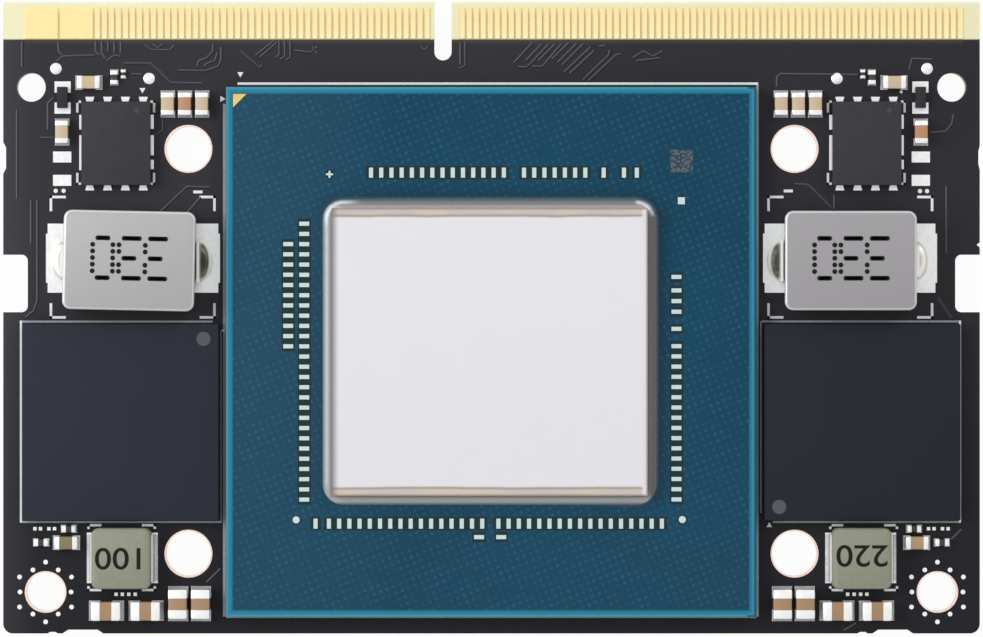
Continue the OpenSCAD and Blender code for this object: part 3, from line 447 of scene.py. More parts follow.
def contact_colour(c):
    """Gold, deeper towards the connector edge and here and there, light at the inner end."""
    low, high = corner_low("upper_edge_contacts").y / MM, corner_high("upper_edge_contacts").y / MM
    deep = [part * share for part, share in zip(c.gold, DEEP_GOLD)]
    wide = [part * share for part, share in zip(c.gold, WIDE_GOLD)]
    wide_end = max(b.x for a, b in shells_of("upper_edge_contacts") if b.x - a.x > MM) / MM

    def paint(s):
        here = s.place()
        fade = s.step(here["Y"], (low + high) / 2, (high - low) / 2)
        tone = s.mix(fade, c.gold, deep)
        streak = s.add("ShaderNodeCombineXYZ", {0: here["X"], 1: s.times(here["Y"], 0.08)}).outputs[0]
        noise = s.add("ShaderNodeTexNoise", {"Vector": streak, "Scale": 4.0, "Detail": 4.0}).outputs[0]
        tone = s.tint(tone, shade(c.gold, 0.8), noise, 0.25)
        foot = s.below(here["Y"], low + 0.25, 0.3)
        tone = s.tint(tone, c.laminate, foot, 0.4)
        return s.mix(s.step(here["X"], wide_end, 0.02), wide, tone)
    return paint


def round_corner(s, past_x, past_y):
    """Distance from a rectangle, by how far a point lies past it each way."""
    return s.hypot(s.math("MAXIMUM", past_x, 0), s.math("MAXIMUM", past_y, 0))


def teal_colour(c):
    """Mask of the substrate: bright bare rim with painted light and shade on its right side, faint dots of
    the copper mesh, a machine-read patch, and painted shadow beside the resin.
    """
    low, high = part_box("processor_substrate")
    centre, half = middle("processor_substrate") / MM, (high.x - low.x) / 2 / MM
    resin = middle("processor_underfill") / MM
    resin_half = corner_high("processor_underfill") / MM - resin
    rim, bend, pitch, dot, turn = 0.48, 1.5, 0.495, 0.11, 22
    patch = {"centre_x": 13.5, "centre_y": 11.13, "length": 1.6, "width": 1.6, "cell": 0.13}

    def paint(s):
        here = s.place()
        off_x = s.minus(here["X"], centre.x)
        off_y = s.minus(here["Y"], centre.y)
        reach = s.math("MAXIMUM", s.math("ABSOLUTE", off_x), s.math("ABSOLUTE", off_y))
        edge = s.minus(half, reach)
        turned = s.add("ShaderNodeVectorRotate", {"Vector": here["Point"], "Angle": -math.radians(turn)},
                       rotation_type="Z_AXIS").outputs[0]
        axes = s.add("ShaderNodeSeparateXYZ", {0: turned}).outputs
        cells = [s.minus(s.math("PINGPONG", axes[axis], pitch), pitch / 2) for axis in "XY"]
        dots = s.below(s.hypot(*cells), dot, 0.09)
        cloud = s.grain(scale=0.11, detail=2, contrast=1.8)
        ground = s.mix(cloud, shade(c.teal, 0.88), shade(c.teal, 1.12))
        rear = s.below(off_y, -8, 8)
        pale = s.math("SUBTRACT", 0.75, s.step(off_x, -9, 9), clamp=True)
        pale = s.times(pale, s.inverse(s.times(rear, 0.65)))
        ground = s.mix(s.plus(pale, s.times(rear, 0.28)), ground, c.teal_pale)
        faint = s.times(dots, s.times(s.grain(scale=0.9, contrast=2.4), 0.42))
        ground = s.mix(faint, ground, c.teal_dot)
        past_x = s.minus(s.apart(here["X"], resin.x), resin_half.x - bend)
        past_y = s.minus(s.apart(here["Y"], resin.y), resin_half.y - bend)
        beside = s.minus(round_corner(s, past_x, past_y), bend)
        # Painted shadow beside the resin, deeper to the right and front.
        cast_shadow = s.below(beside, 0.7, 0.75)
        lee = s.step(s.plus(off_x, off_y), 0, 9)
        depth = s.plus(0.1, s.times(lee, 0.28))
        ground = s.mix(s.times(cast_shadow, depth), ground, shade(c.teal_shade, 0.5))
        thin = s.below(beside, 0.13, 0.11)
        ground = s.mix(s.times(thin, s.times(lee, 0.7)), ground, c.underfill_edge)
        code = s.group("speck patch", **patch)
        ground = s.tint(ground, shade(c.laser, 0.6), code["Area"], 0.4)
        ground = s.tint(ground, shade(c.print_grey, 0.6), code["Mask"], 0.5)
        bright = s.mix(s.step(edge, 0.17, 0.1), c.teal_rim, c.teal_rim_dim)
        # On the right the rim is painted light and shade: a bright line in its middle and painted shade at
        # its outer edge.
        right_rim_shading = s.mix(s.bar(edge, 0.21, 0.08, 0.06), c.teal_rim_dim, c.teal_rim)
        right_rim_shading = s.mix(s.step(edge, 0.12, 0.06), shade(c.teal_rim_dim, 0.55), right_rim_shading)
        bright = s.mix(s.step(off_x, half - rim - 0.1, 0.1), bright, right_rim_shading)
        groove = s.times(s.bar(edge, rim + 0.12, 0.1, 0.1), 0.12)
        ground = s.mix(groove, ground, shade(c.teal, 0.4))
        painted = s.mix(s.step(edge, rim - 0.03, 0.12), bright, ground)
        wall = s.mix(s.grain(scale=3, contrast=1.4), shade(c.teal_rim, 0.7), c.teal_rim)
        return s.mix(side_facing(s), painted, wall)
    return paint


def die_colour(c):
    """Polished silicon: stained strip and brown line along the front and rear edges, cream left edge, painted
    shade at the left edge and along the front, rear and right edges, and a painted reflection that makes it
    slightly darker towards the rear.
    """
    low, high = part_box("processor_die")[0] / MM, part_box("processor_die")[1] / MM
    strip, edge_shade = 0.535, 0.1

    def paint(s):
        here = s.place()
        wander = s.times(s.minus(s.grain(scale=0.3, contrast=1.5), 0.5), 0.12)
        front = s.minus(high.y, here["Y"])
        rear = s.minus(here["Y"], low.y)
        left = s.minus(here["X"], low.x)
        right = s.minus(high.x, here["X"])
        depth = s.plus(s.math("MINIMUM", front, rear), wander)
        held = s.step(right, 0.38, 0.12)
        stain = s.times(s.below(depth, strip + 0.08, 0.12), held)
        line = s.times(s.bar(depth, strip, 0.15, 0.1), held)
        # Painted reflection: the clean silicon is slightly darker towards the rear.
        clean = s.mix(s.step(here["Y"], -2.4, 9), shade(c.silicon, 0.97), c.silicon)
        clean = s.tint(clean, shade(c.silicon, 0.96), s.grain(scale=0.1, detail=2, contrast=1.5), 0.3)
        greyer = s.mix(0.25, c.die_edge, c.underfill_lit)
        patches = s.mix(s.grain(scale=0.45, contrast=3), c.die_edge, greyer)
        pale = s.mix(0.3, c.silicon, c.die_edge)
        cream = s.below(s.math("MINIMUM", left, right), 0.35, 0.4)
        painted = s.tint(clean, pale, cream, 0.8)
        painted = s.mix(stain, painted, patches)
        painted = s.tint(painted, c.die_line, line, 0.88)
        # Painted shade at the left edge, then along the front, rear and right edges.
        painted = s.mix(s.step(left, 0.22, 0.34), c.die_side, painted)
        edge = s.math("MINIMUM", s.math("MINIMUM", front, rear), right)
        dark = s.below(edge, edge_shade, 0.1)
        painted = s.tint(painted, c.die_side, dark, 0.75)
        return s.mix(side_facing(s), painted, shade(c.die_line, 0.3))
    return paint


def underfill_colour(c):
    """Resin with its own run of tones from the die outwards on each side, painted light and shade: lighter on
    the left, darker on the right, painted shade where it meets the die but a painted highlight there in
    front, and painted highlights on the corners in front.
    """
    low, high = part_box("processor_die")[0] / MM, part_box("processor_die")[1] / MM
    centre, half = (low + high) / 2, (high - low) / 2
    resin, bend = corner_high("processor_underfill").x / MM - high.x, 1.5

    def run(s, reach, inner, between, outer, turns):
        first = s.mix(s.step(reach, turns[0], 0.13), inner, between)
        return s.mix(s.step(reach, turns[1], 0.13), first, outer)

    def paint(s):
        here = s.place()
        off_x = s.minus(here["X"], centre.x)
        off_y = s.minus(here["Y"], centre.y)
        out_x = s.minus(s.math("ABSOLUTE", off_x), half.x)
        out_y = s.minus(s.math("ABSOLUTE", off_y), half.y)
        reach = s.math("MAXIMUM", out_x, out_y)
        # Each run is painted light and shade: lit and shaded copies of the resin stand for how light falls on
        # that side.
        thin = shade(c.underfill_edge, 0.7)
        pale = s.mix(0.3, c.underfill_edge, c.underfill_lit)
        left = run(s, reach, c.underfill_crease_shade, c.underfill_lit, pale, (0.13, 0.55))
        right = run(s, reach, c.underfill_crease_shade, c.underfill_shaded, c.underfill_edge, (0.2, 0.6))
        front = run(s, reach, c.underfill_front_highlight, shade(c.underfill, 0.62), thin, (0.2, 0.5))
        rear = run(s, reach, c.underfill_crease_shade, shade(c.underfill, 1.3), thin, (0.1, 0.52))
        ends = s.mix(s.step(off_x, 0, 0.1), left, right)
        flanks = s.mix(s.step(off_y, 0, 0.1), rear, front)
        tone = s.mix(s.step(s.minus(out_x, out_y), 0, 0.5), flanks, ends)
        bend_x = s.plus(out_x, bend - resin)
        bend_y = s.plus(out_y, bend - resin)
        band = s.bar(round_corner(s, bend_x, bend_y), bend - 0.23, 0.2, 0.13)
        short = s.times(s.step(bend_x, 0.05, 0.2), s.step(bend_y, 0.35, 0.2))
        long = s.times(s.step(bend_x, -0.6, 0.8), s.step(bend_y, -0.2, 0.6))
        extent = s.mix(s.step(off_x, 0, 0.1), long, short)
        glint = s.times(s.times(band, extent), s.step(off_y, 0, 0.1))
        tone = s.mix(glint, tone, c.underfill_glint)
        streak = s.grain(scale=1.1, detail=3, contrast=1.6)
        return s.tint(tone, shade(c.underfill, 0.6), streak, 0.12)
    return paint


# Places of the round index marks, in millimetres
MEMORY_MARKS = ((-20.48, -1.5), (20.46, -13.45))
STAGE_MARKS = ((-25.25, 14.75), (28.3, 14.75))


def with_spots(s, ground, marks, diameter, rgb, share):
    """A ground colour with round marks on it."""
    for x, y in marks:
        spot = s.group("round spot", centre_x=x, centre_y=y, diameter=diameter)["Mask"]
        ground = s.tint(ground, rgb, spot, share)
    return ground


def memory_colour(c):
    """Dark compound with a round index mark on each package, with painted light on the left package and
    painted shade on the right one.
    """
    def paint(s):
        # Painted light and shade: lighter towards the left, darker towards the right.
        lit = s.step(s.place()["X"], 0, 10)
        side_lit_tone = s.mix(lit, shade(c.memory, 1.3), shade(c.memory, 0.85))
        ground = s.tint(side_lit_tone, c.mask_rear, s.grain(scale=0.25, detail=3, contrast=1.6), 0.16)
        speckle = s.grain(scale=24, detail=3, contrast=1.6)
        painted = s.tint(ground, c.laser, speckle, 0.08)
        return with_spots(s, painted, MEMORY_MARKS, 1.0, c.laser, 0.85)
    return paint


def stage_colour(c):
    """Moulding compound with a faint index mark by the first lead."""
    def paint(s):
        painted = s.mix(s.grain(scale=1.2, contrast=1.5), shade(c.mould, 0.88), shade(c.mould, 1.1))
        return with_spots(s, painted, STAGE_MARKS, 0.36, c.laser, 0.35)
    return paint


def front_and_rear(front, rear, edge):
    """Base colour of parts that differ in tone before and behind a line across the board."""
    def paint(s):
        tone = s.mix(s.step(s.place()["Y"], edge, 0.5), rear, front)
        return s.tint(tone, shade(front, 0.72), s.grain(scale=4, detail=4, contrast=1.5), 0.22)
    return paint


def iron_colour(c):
    """Pressed iron in the tone of its side, a little deeper towards the rear, with a painted highlight on its
    rounded edges.
    """
    low, high = (corner.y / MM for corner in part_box("right_power_inductor_core"))

    def paint(s):
        here = s.place()
        tone = s.mix(s.step(here["X"], 0, 5), c.iron, c.iron_dim)
        depth = s.below(here["Y"], (low + high) / 2, high - low)
        tone = s.tint(tone, shade(c.iron, 0.6), depth, 0.3)
        # Painted highlight on the rounded edges.
        tone = s.tint(tone, c.iron_rim_highlight, side_facing(s, ROUNDING_LEVEL), 0.7)
        return s.tint(tone, shade(c.iron, 0.7), s.grain(scale=2.2, detail=4, contrast=1.5), 0.1)
    return paint


def inner_terminal_colour(c):
    """Tin strip beside the body, then a hollow of solder painted dark as shade and reflection, with a bright
    bend round it that is painted darker towards the rear, and painted shade in the gap by the body.
    """
    low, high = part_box("right_power_inductor_inner_terminal")
    shift = (low.x + corner_high("left_power_inductor_inner_terminal").x) / 2 / MM
    strip, middle_y = low.x / MM - shift + 0.86, (low.y + high.y) / 2 / MM
    reach_x, reach_y = 0.64, 1.3

    def paint(s):
        here = s.place()
        inward = s.minus(strip, s.apart(here["X"], shift))
        along = s.minus(here["Y"], middle_y)
        oval = s.hypot(s.math("DIVIDE", s.math("MAXIMUM", inward, 0), reach_x),
                       s.math("DIVIDE", along, reach_y))
        mottle = s.grain(scale=2.6, detail=3, contrast=2.6)
        # Painted shade and reflection in the hollow; painted shade on the bend towards the rear and in the
        # gap by the body.
        hollow = s.mix(mottle, shade(c.terminal_shade, 0.75), shade(c.terminal_shade, 1.9))
        bend = s.mix(s.step(along, -0.4, 1.2), shade(c.terminal, 0.72), c.terminal)
        painted = s.mix(s.step(oval, 0.98, 0.1), hollow, bend)
        painted = s.mix(s.bar(inward, -0.1, 0.2, 0.05), painted, c.terminal)
        gap = s.below(inward, -0.24, 0.05)
        painted = s.mix(s.times(gap, s.bar(along, 0, 2.9, 0.2)), painted, c.terminal_shade)
        across = s.math("ABSOLUTE", s.lean()["X"])
        return s.mix(s.step(across, 0.985, 0.01), painted, shade(c.terminal, 0.8))
    return paint


def outer_terminal_colour(c):
    """Bright tin with a soft shaded arc where the solder ends."""
    low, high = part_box("right_power_inductor_outer_terminal")
    shift = (high.x + corner_low("left_power_inductor_outer_terminal").x) / 2 / MM
    tip, middle_y = high.x / MM - shift, (low.y + high.y) / 2 / MM
    reach_x, reach_y = 0.95, 1.6

    def paint(s):
        here = s.place()
        apart = s.apart(here["X"], shift)
        outward = s.plus(s.minus(apart, tip), reach_x)
        along = s.minus(here["Y"], middle_y)
        oval = s.hypot(s.math("DIVIDE", s.math("MAXIMUM", outward, 0), reach_x),
                       s.math("DIVIDE", along, reach_y))
        mottle = s.times(s.grain(scale=2.6, detail=3, contrast=2), 0.2)
        tone = s.mix(mottle, c.terminal, shade(c.terminal, 0.75))
        return s.tint(tone, c.terminal_shade, s.bar(oval, 0.78, 0.12, 0.08), 0.45)
    return paint


# Y of the line behind which the capacitors look deeper, in millimetres
CERAMIC_LINE = -8


def metal(share):
    return {"Metallic": share}


def sheen(level):
    return {"Specular IOR Level": level}


def build_finishes(c):
    """Every material of the module: name, colour, roughness with its scale, relief and other sockets."""
    print_relief, terminal_relief = grain_relief(20, 0.006), grain_relief(2.6, 0.03)
    rows = [
        ("board", board_colour(c), (0.42, 0.6, 2), board_relief, sheen(0.16)),
        ("track", track_colour(c), (0.35, 0.5, 3), grain_relief(8, 0.004), sheen(0.2)),
        ("print", mottled(c.print_white, 5, 0.07), (0.55, 0.75, 5), print_relief, {}),
        ("thin_print", mottled(c.print_grey, 3, 0.2), (0.55, 0.75, 5), print_relief, {}),
        ("pin", mottled(c.pin_gold, 2), (0.22, 0.36, 3), grain_relief(6, 0.004), metal(1)),
        ("gold", contact_colour(c), (0.22, 0.36, 3), grain_relief(6, 0.004), metal(1)),
        ("copper", mottled(c.copper, 4, 0.15), (0.3, 0.5, 5), grain_relief(9, 0.006), metal(1)),
        ("tin", mottled(c.tin, 5, 0.06), (0.34, 0.46, 5), grain_relief(7, 0.008), metal(0.55)),
        ("solder", mottled(c.solder, 4, 0.1), (0.3, 0.46, 4), grain_relief(3.5, 0.02), metal(0.55)),
        ("teal", teal_colour(c), (0.35, 0.48, 1.5), grain_relief(7, 0.005), sheen(0.12)),
        ("land", mottled(c.land, 3, 0.08), (0.35, 0.5, 5), grain_relief(9, 0.004), metal(0.4)),
        ("teal_shade", mottled(c.teal_shade, 4, 0.2), (0.5, 0.65, 5), grain_relief(9, 0.004), sheen(0.1)),
        ("inner_terminal", inner_terminal_colour(c), (0.3, 0.45, 3), terminal_relief, metal(0.3)),
        ("outer_terminal", outer_terminal_colour(c), (0.3, 0.45, 3), terminal_relief, metal(0.6)),
        ("silicon", die_colour(c), (0.16, 0.26, 0.6), grain_relief(1.5, 0.002, 0.3), metal(0.75)),
        ("underfill", underfill_colour(c), (0.24, 0.36, 2), grain_relief(2.5, 0.02), {"Coat Weight": 0.2}),
        ("memory", memory_colour(c), (0.5, 0.68, 10), grain_relief(22, 0.008), sheen(0.12)),
        ("memory_substrate", mottled(c.memory_laminate, 3, 0.2), (0.4, 0.6, 4), grain_relief(8, 0.006), {}),
        ("dark_mould", mottled(c.mask, 4), (0.45, 0.6, 6), grain_relief(16, 0.008), sheen(0.15)),
        ("mould", stage_colour(c), (0.5, 0.7, 8), grain_relief(20, 0.01), sheen(0.18)),
        ("iron", iron_colour(c), (0.38, 0.52, 6), grain_relief(16, 0.012), metal(0.45)),
        ("ferrite", mottled(c.ferrite, 3, 0.08), (0.5, 0.66, 6), grain_relief(12, 0.014), sheen(0.3)),
        ("ink", mottled(c.ink, 6, 0.25), (0.5, 0.7, 6), grain_relief(15, 0.006), sheen(0.2)),
        ("resistor", mottled(c.resistor, 5, 0.2), (0.35, 0.55, 6), grain_relief(12, 0.008), sheen(0.3)),
    ]
    ceramics = {"tan": (c.tan, c.tan_rear), "orange": (c.orange, c.orange_rear), "olive": (c.olive, c.olive)}
    for name, (front, rear) in ceramics.items():
        tones = front_and_rear(front, rear, CERAMIC_LINE)
        rows.append((f"{name}_ceramic", tones, (0.34, 0.5, 6), grain_relief(14, 0.008), sheen(0.3)))
    for name, base, rough, relief, sockets in rows:
        finish(f"{name}_finish", base, rough_range(*rough), relief, sockets)


def add_finish(piece, name):
    piece.data.materials.append(bpy.data.materials[f"{name}_finish"])


def coat(node, name):
    """Gives a CAD node one finish."""
    NODES[node].data.materials.clear()
    add_finish(NODES[node], name)


# Modelling helpers

def deselect():
    bpy.ops.object.select_all(action="DESELECT")


def only(piece):
    deselect()
    piece.select_set(True)
    bpy.context.view_layer.objects.active = piece


def edit(piece):
    only(piece)
    bpy.ops.object.mode_set(mode="EDIT")


def leave_edit():
    bpy.ops.object.mode_set(mode="OBJECT")


def settle(piece):
    """Puts the piece's place into its mesh."""
    only(piece)
    bpy.ops.object.transform_apply(location=True, rotation=True, scale=True)


def block(name, low, high):
    """A box between two corners, ready to be shaped."""
    deselect()
    bpy.ops.mesh.primitive_cube_add(size=1, location=(low + high) / 2)
    piece = bpy.context.object
    piece.name = name
    piece.scale = high - low
    settle(piece)
    return piece


def pick_edges(piece, test):
    """Selects the edges whose two ends pass a test, in edit mode."""
    bpy.ops.mesh.select_mode(type="EDGE")
    bpy.ops.mesh.select_all(action="DESELECT")
    leave_edit()
    points = piece.data.vertices
    for edge in piece.data.edges:
        edge.select = test(*(points[i].co for i in edge.vertices))
    bpy.ops.object.mode_set(mode="EDIT")


def pick_faces(piece, test):
    """Selects the faces whose centre and normal pass a test, in edit mode."""
    bpy.ops.mesh.select_mode(type="FACE")
    bpy.ops.mesh.select_all(action="DESELECT")
    leave_edit()
    for face in piece.data.polygons:
        face.select = test(face.center, face.normal)
    bpy.ops.object.mode_set(mode="EDIT")


def upright(a, b):
    return abs(a.z - b.z) > max(abs(a.x - b.x), abs(a.y - b.y))


def rim_at(height):
    """Test for edges that lie at a height."""
    return lambda a, b: abs(a.z - height) < 1e-6 and abs(b.z - height) < 1e-6


def bevel(width, segments):
    bpy.ops.mesh.bevel(offset=width, segments=segments, affect="EDGES", clamp_overlap=True)


def smooth(piece, degrees=35):
    only(piece)
    bpy.ops.object.shade_smooth_by_angle(angle=math.radians(degrees))


def carry(piece, slot, *nodes):
    """Lets a piece ride on the module and hides the solids that it stands for; the record slot is not used.
    """
    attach(piece, "root")
    if nodes:
        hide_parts(*nodes)
    return piece


def rounded_package(node, width, slot, finish_name):
    """A moulded package in place of its solid: a box with softly rounded edges."""
    piece = block(f"{node}_body", *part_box(node))
    edit(piece)
    bpy.ops.mesh.select_all(action="SELECT")
    bevel(width, 3)
    leave_edit()
    smooth(piece)
    add_finish(piece, finish_name)
    return carry(piece, slot, node)


def start_drawing(name):
    """An empty mesh in edit mode."""
    deselect()
    bpy.ops.mesh.primitive_plane_add(size=MM)
    piece = bpy.context.object
    piece.name = name
    bpy.ops.object.mode_set(mode="EDIT")
    bpy.ops.mesh.delete(type="VERT")
    return piece


def draw_bar(x, y, l, w, z, turn=0):
    """A flat bar by its middle, in millimetres, turned anticlockwise."""
    spot = Vector((x * MM, y * MM, z))
    bpy.ops.mesh.select_all(action="DESELECT")
    bpy.ops.mesh.primitive_plane_add(size=MM, location=spot, rotation=(0, 0, 0))
    bpy.ops.transform.resize(value=(l, w, 1), center_override=spot)
    if turn:
        bpy.ops.transform.rotate(value=-math.radians(turn), orient_axis="Z", center_override=spot)


def draw_dot(x, y, d, z, sides=12, turn=0):
    """A flat disc or polygon by its middle, in millimetres."""
    bpy.ops.mesh.select_all(action="DESELECT")
    bpy.ops.mesh.primitive_circle_add(
        vertices=sides, radius=d / 2 * MM, fill_type="NGON", location=(x * MM, y * MM, z),
        rotation=(0, 0, math.radians(turn)))


def end_drawing(piece, height, finish_name, slot):
    """Lifts the flat drawing to its thickness and closes it."""
    bpy.ops.mesh.select_all(action="SELECT")
    bpy.ops.mesh.extrude_region_move(TRANSFORM_OT_translate={"value": (0, 0, height)})
    bpy.ops.mesh.select_all(action="SELECT")
    bpy.ops.mesh.normals_make_consistent(inside=False)
    leave_edit()
    settle(piece)
    add_finish(piece, finish_name)
    return carry(piece, slot)


def copy_of(piece, name, place):
    """A copy with its own mesh, moved by a matrix."""
    twin = piece.copy()
    twin.data = piece.data.copy()
    twin.name = name
    twin.data.transform(place)
    bpy.context.collection.objects.link(twin)
    return twin


def join(pieces, name):
    deselect()
    for piece in pieces:
        piece.select_set(True)
    bpy.context.view_layer.objects.active = pieces[0]
    bpy.ops.object.join()
    pieces[0].name = name
    return pieces[0]


# Chip parts

def chip_master(name, size, band, round_width, proud, body):
    """A ceramic chip with its middle at the origin: rounded block whose two ends are lifted as metal caps."""
    l, w, h = size
    half = Vector((l / 2 - proud, w / 2 - proud, h / 2 - proud))
    piece = block(name, -half, half)
    edit(piece)
    bpy.ops.mesh.select_all(action="SELECT")
    bevel(round_width, 2)
    for side in (-1, 1):
        bpy.ops.mesh.select_all(action="SELECT")
        bpy.ops.mesh.bisect(plane_co=(side * (l / 2 - band), 0, 0), plane_no=(1, 0, 0))
    pick_faces(piece, lambda centre, normal: abs(centre.x) > l / 2 - band)
    bpy.ops.mesh.extrude_region_shrink_fatten(TRANSFORM_OT_shrink_fatten={"value": proud})
    leave_edit()
    add_finish(piece, body)
    add_finish(piece, "tin")
    for face in piece.data.polygons:
        face.material_index = int(abs(face.center.x) > l / 2 - band - proud / 4)
    smooth(piece)
    return piece


END_SHARE = 0.3
SMALL_END_SHARE = 0.22
RESISTOR_LIMIT = 1.2 * MM


FIELD_ROUND_SHARE = 0.08


def chip_pose(low, high):
    """Length, width and height of the chip in a box, and the matrix that lays it there."""
    size = high - low
    lying = size.x > size.y
    l, w = (size.x, size.y) if lying else (size.y, size.x)
    turn = 0 if lying else math.pi / 2
    return (l, w, size.z), Matrix.Translation((low + high) / 2) @ Matrix.Rotation(turn, 4, "Z")


def slot_of(node):
    return next(p["material_slot"] for p in frame["record"]["subparts"] if p["node"] == node)


def node_chip(node, body, sizes):
    """Stands a chip part in place of the CAD node that has its box."""
    share = END_SHARE if "rear" in node else SMALL_END_SHARE
    size, place = chip_pose(*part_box(node))
    chip = chip_master(f"{node}_chip", size, size[0] * share, sizes.chip_round, sizes.chip_proud, body)
    chip.data.transform(place)
    return carry(chip, slot_of(node), node)


def shells_of(node):
    """Boxes of the separate solids in a CAD node, as low and high corners."""
    only(NODES[node])
    twin = copy_of(NODES[node], "shell_probe", Matrix.Identity(4))
    edit(twin)
    bpy.ops.mesh.select_all(action="SELECT")
    bpy.ops.mesh.remove_doubles(threshold=1e-6)
    bpy.ops.mesh.separate(type="LOOSE")
    leave_edit()
    parts = [o for o in bpy.context.selected_objects if o.type == "MESH"]
    boxes = []
    for part in parts:
        corners = [v.co for v in part.data.vertices]
        low = Vector([min(c[i] for c in corners) for i in range(3)])
        high = Vector([max(c[i] for c in corners) for i in range(3)])
        boxes.append((low, high))
    for part in parts:
        bpy.data.objects.remove(part)
    return sorted(boxes, key=lambda b: (round(b[0].x, 6), round(b[0].y, 6)))


def chip_field(node, body, sizes):
    """Chips in place of every solid of a CAD node, modelled once for each size and joined to one piece."""
    masters, chips = {}, []
    for low, high in shells_of(node):
        size, place = chip_pose(low, high)
        l, w, h = size
        key = (round(l, 5), round(w, 5), round(h, 5))
        share = SMALL_END_SHARE if l > RESISTOR_LIMIT else END_SHARE
        if key not in masters:
            masters[key] = chip_master(f"{node}_master_{len(masters)}", size, l * share,
                                       w * FIELD_ROUND_SHARE, sizes.chip_proud, body)
        chips.append(copy_of(masters[key], f"{node}_chip_{len(chips)}", place))
    for master in masters.values():
        bpy.data.objects.remove(master)
    piece = join(chips, f"{node}_chips")
    return carry(piece, slot_of(node), node)


# Board

def corner_brackets(x0, x1, y0, y1, arm_x, arm_y, width):
    """Bars of the four corner brackets round a rectangle, along the middle of their lines."""
    bars = []
    for x, inward in ((x0, 1), (x1, -1)):
        for y, up in ((y0, 1), (y1, -1)):
            bars.append((x + inward * (arm_x - width) / 2, y, arm_x, width))
            bars.append((x, y + up * (arm_y - width) / 2, width, arm_y))
    return bars


def level_bar(x0, x1, y, width):
    return (x0 + x1) / 2, y, x1 - x0, width


def upright_bar(x, y0, y1, width):
    return x, (y0 + y1) / 2, width, y1 - y0


# Printed triangles and dots: place in millimetres, diameter, sides, turn
PRINT_DOTS = [
    (-17.9, 17.38, 0.5, 3, 180), (-19.2, 15.6, 0.5, 3, -90),
    (19.8, -14.8, 0.46, 3, 0), (-19.1, -0.9, 0.36, 3, 90),
    (-31.06, 9.05, 0.32, 8, 0), (-30.5, 9.05, 0.32, 8, 0),
    (30.54, 9.03, 0.32, 8, 0), (31.04, 9.03, 0.32, 8, 0),
    (-24.88, 16.25, 0.5, 3, 180), (29.2, 16.1, 0.22, 8, 0),
]


def bright_print(line):
    """Bars of the white print: brackets round the power parts, front line, side lines and dashes."""
    bars = [
        level_bar(-18.1, 19.0, 16.69, line * 0.95),
        level_bar(-21.25, -20.6, 8.97, 0.2), level_bar(20.83, 21.48, 9.04, 0.2),
        upright_bar(-33.54, -14.6, -0.2, 0.15), upright_bar(33.39, -14.6, -0.2, 0.15),
    ]
    for side in SIDES.values():
        x0, x1 = sorted((side * 31.4, side * 19.745))
        bars += corner_brackets(x0, x1, 0.03, 8.61, 1.15, 1.1, line)
    for x0, x1 in ((-29.52, -24.05), (23.98, 29.44)):
        bars += corner_brackets(x0, x1, 9.56, 15.4, 0.35, 0.85, line * 0.9)
    for x0, x1, y0, y1 in ((-28.72, -24.0, -19.4, -14.78), (24.15, 28.9, -19.4, -14.78)):
        bars += corner_brackets(x0, x1, y0, y1, 1.0, 0.36, line * 0.95)
    return bars


def thin_print():
    """Bars of the print that looks grey: outlines of the memory packages and of the processor."""
    return [
        level_bar(-33.5, -19.85, -0.27, 0.14), level_bar(-33.5, -19.24, -14.55, 0.14),
        upright_bar(-19.28, -14.45, -0.9, 0.08),
        level_bar(19.25, 33.4, -0.26, 0.14), level_bar(20.04, 33.4, -14.55, 0.14),
        upright_bar(19.2, -13.9, -0.26, 0.09),
        upright_bar(-19.04, -21.3, 15.25, 0.2), upright_bar(18.955, -21.3, 16.6, 0.17),
        level_bar(-18.9, 18.85, -21.36, 0.07),
    ]


def board_print(sizes):
    """Print round the packages, with their corner brackets and first-pin marks."""
    line = sizes.print_width / MM
    piece = start_drawing("board_print")
    for bar in bright_print(line):
        draw_bar(*bar, BOARD_TOP)
    for x, y, d, sides, turn in PRINT_DOTS:
        draw_dot(x, y, d, BOARD_TOP, sides, turn)
    end_drawing(piece, sizes.print_height, "print", "board_laminate")
    piece = start_drawing("board_thin_print")
    for bar in thin_print():
        draw_bar(*bar, BOARD_TOP)
    end_drawing(piece, sizes.print_height / 2, "thin_print", "board_laminate")


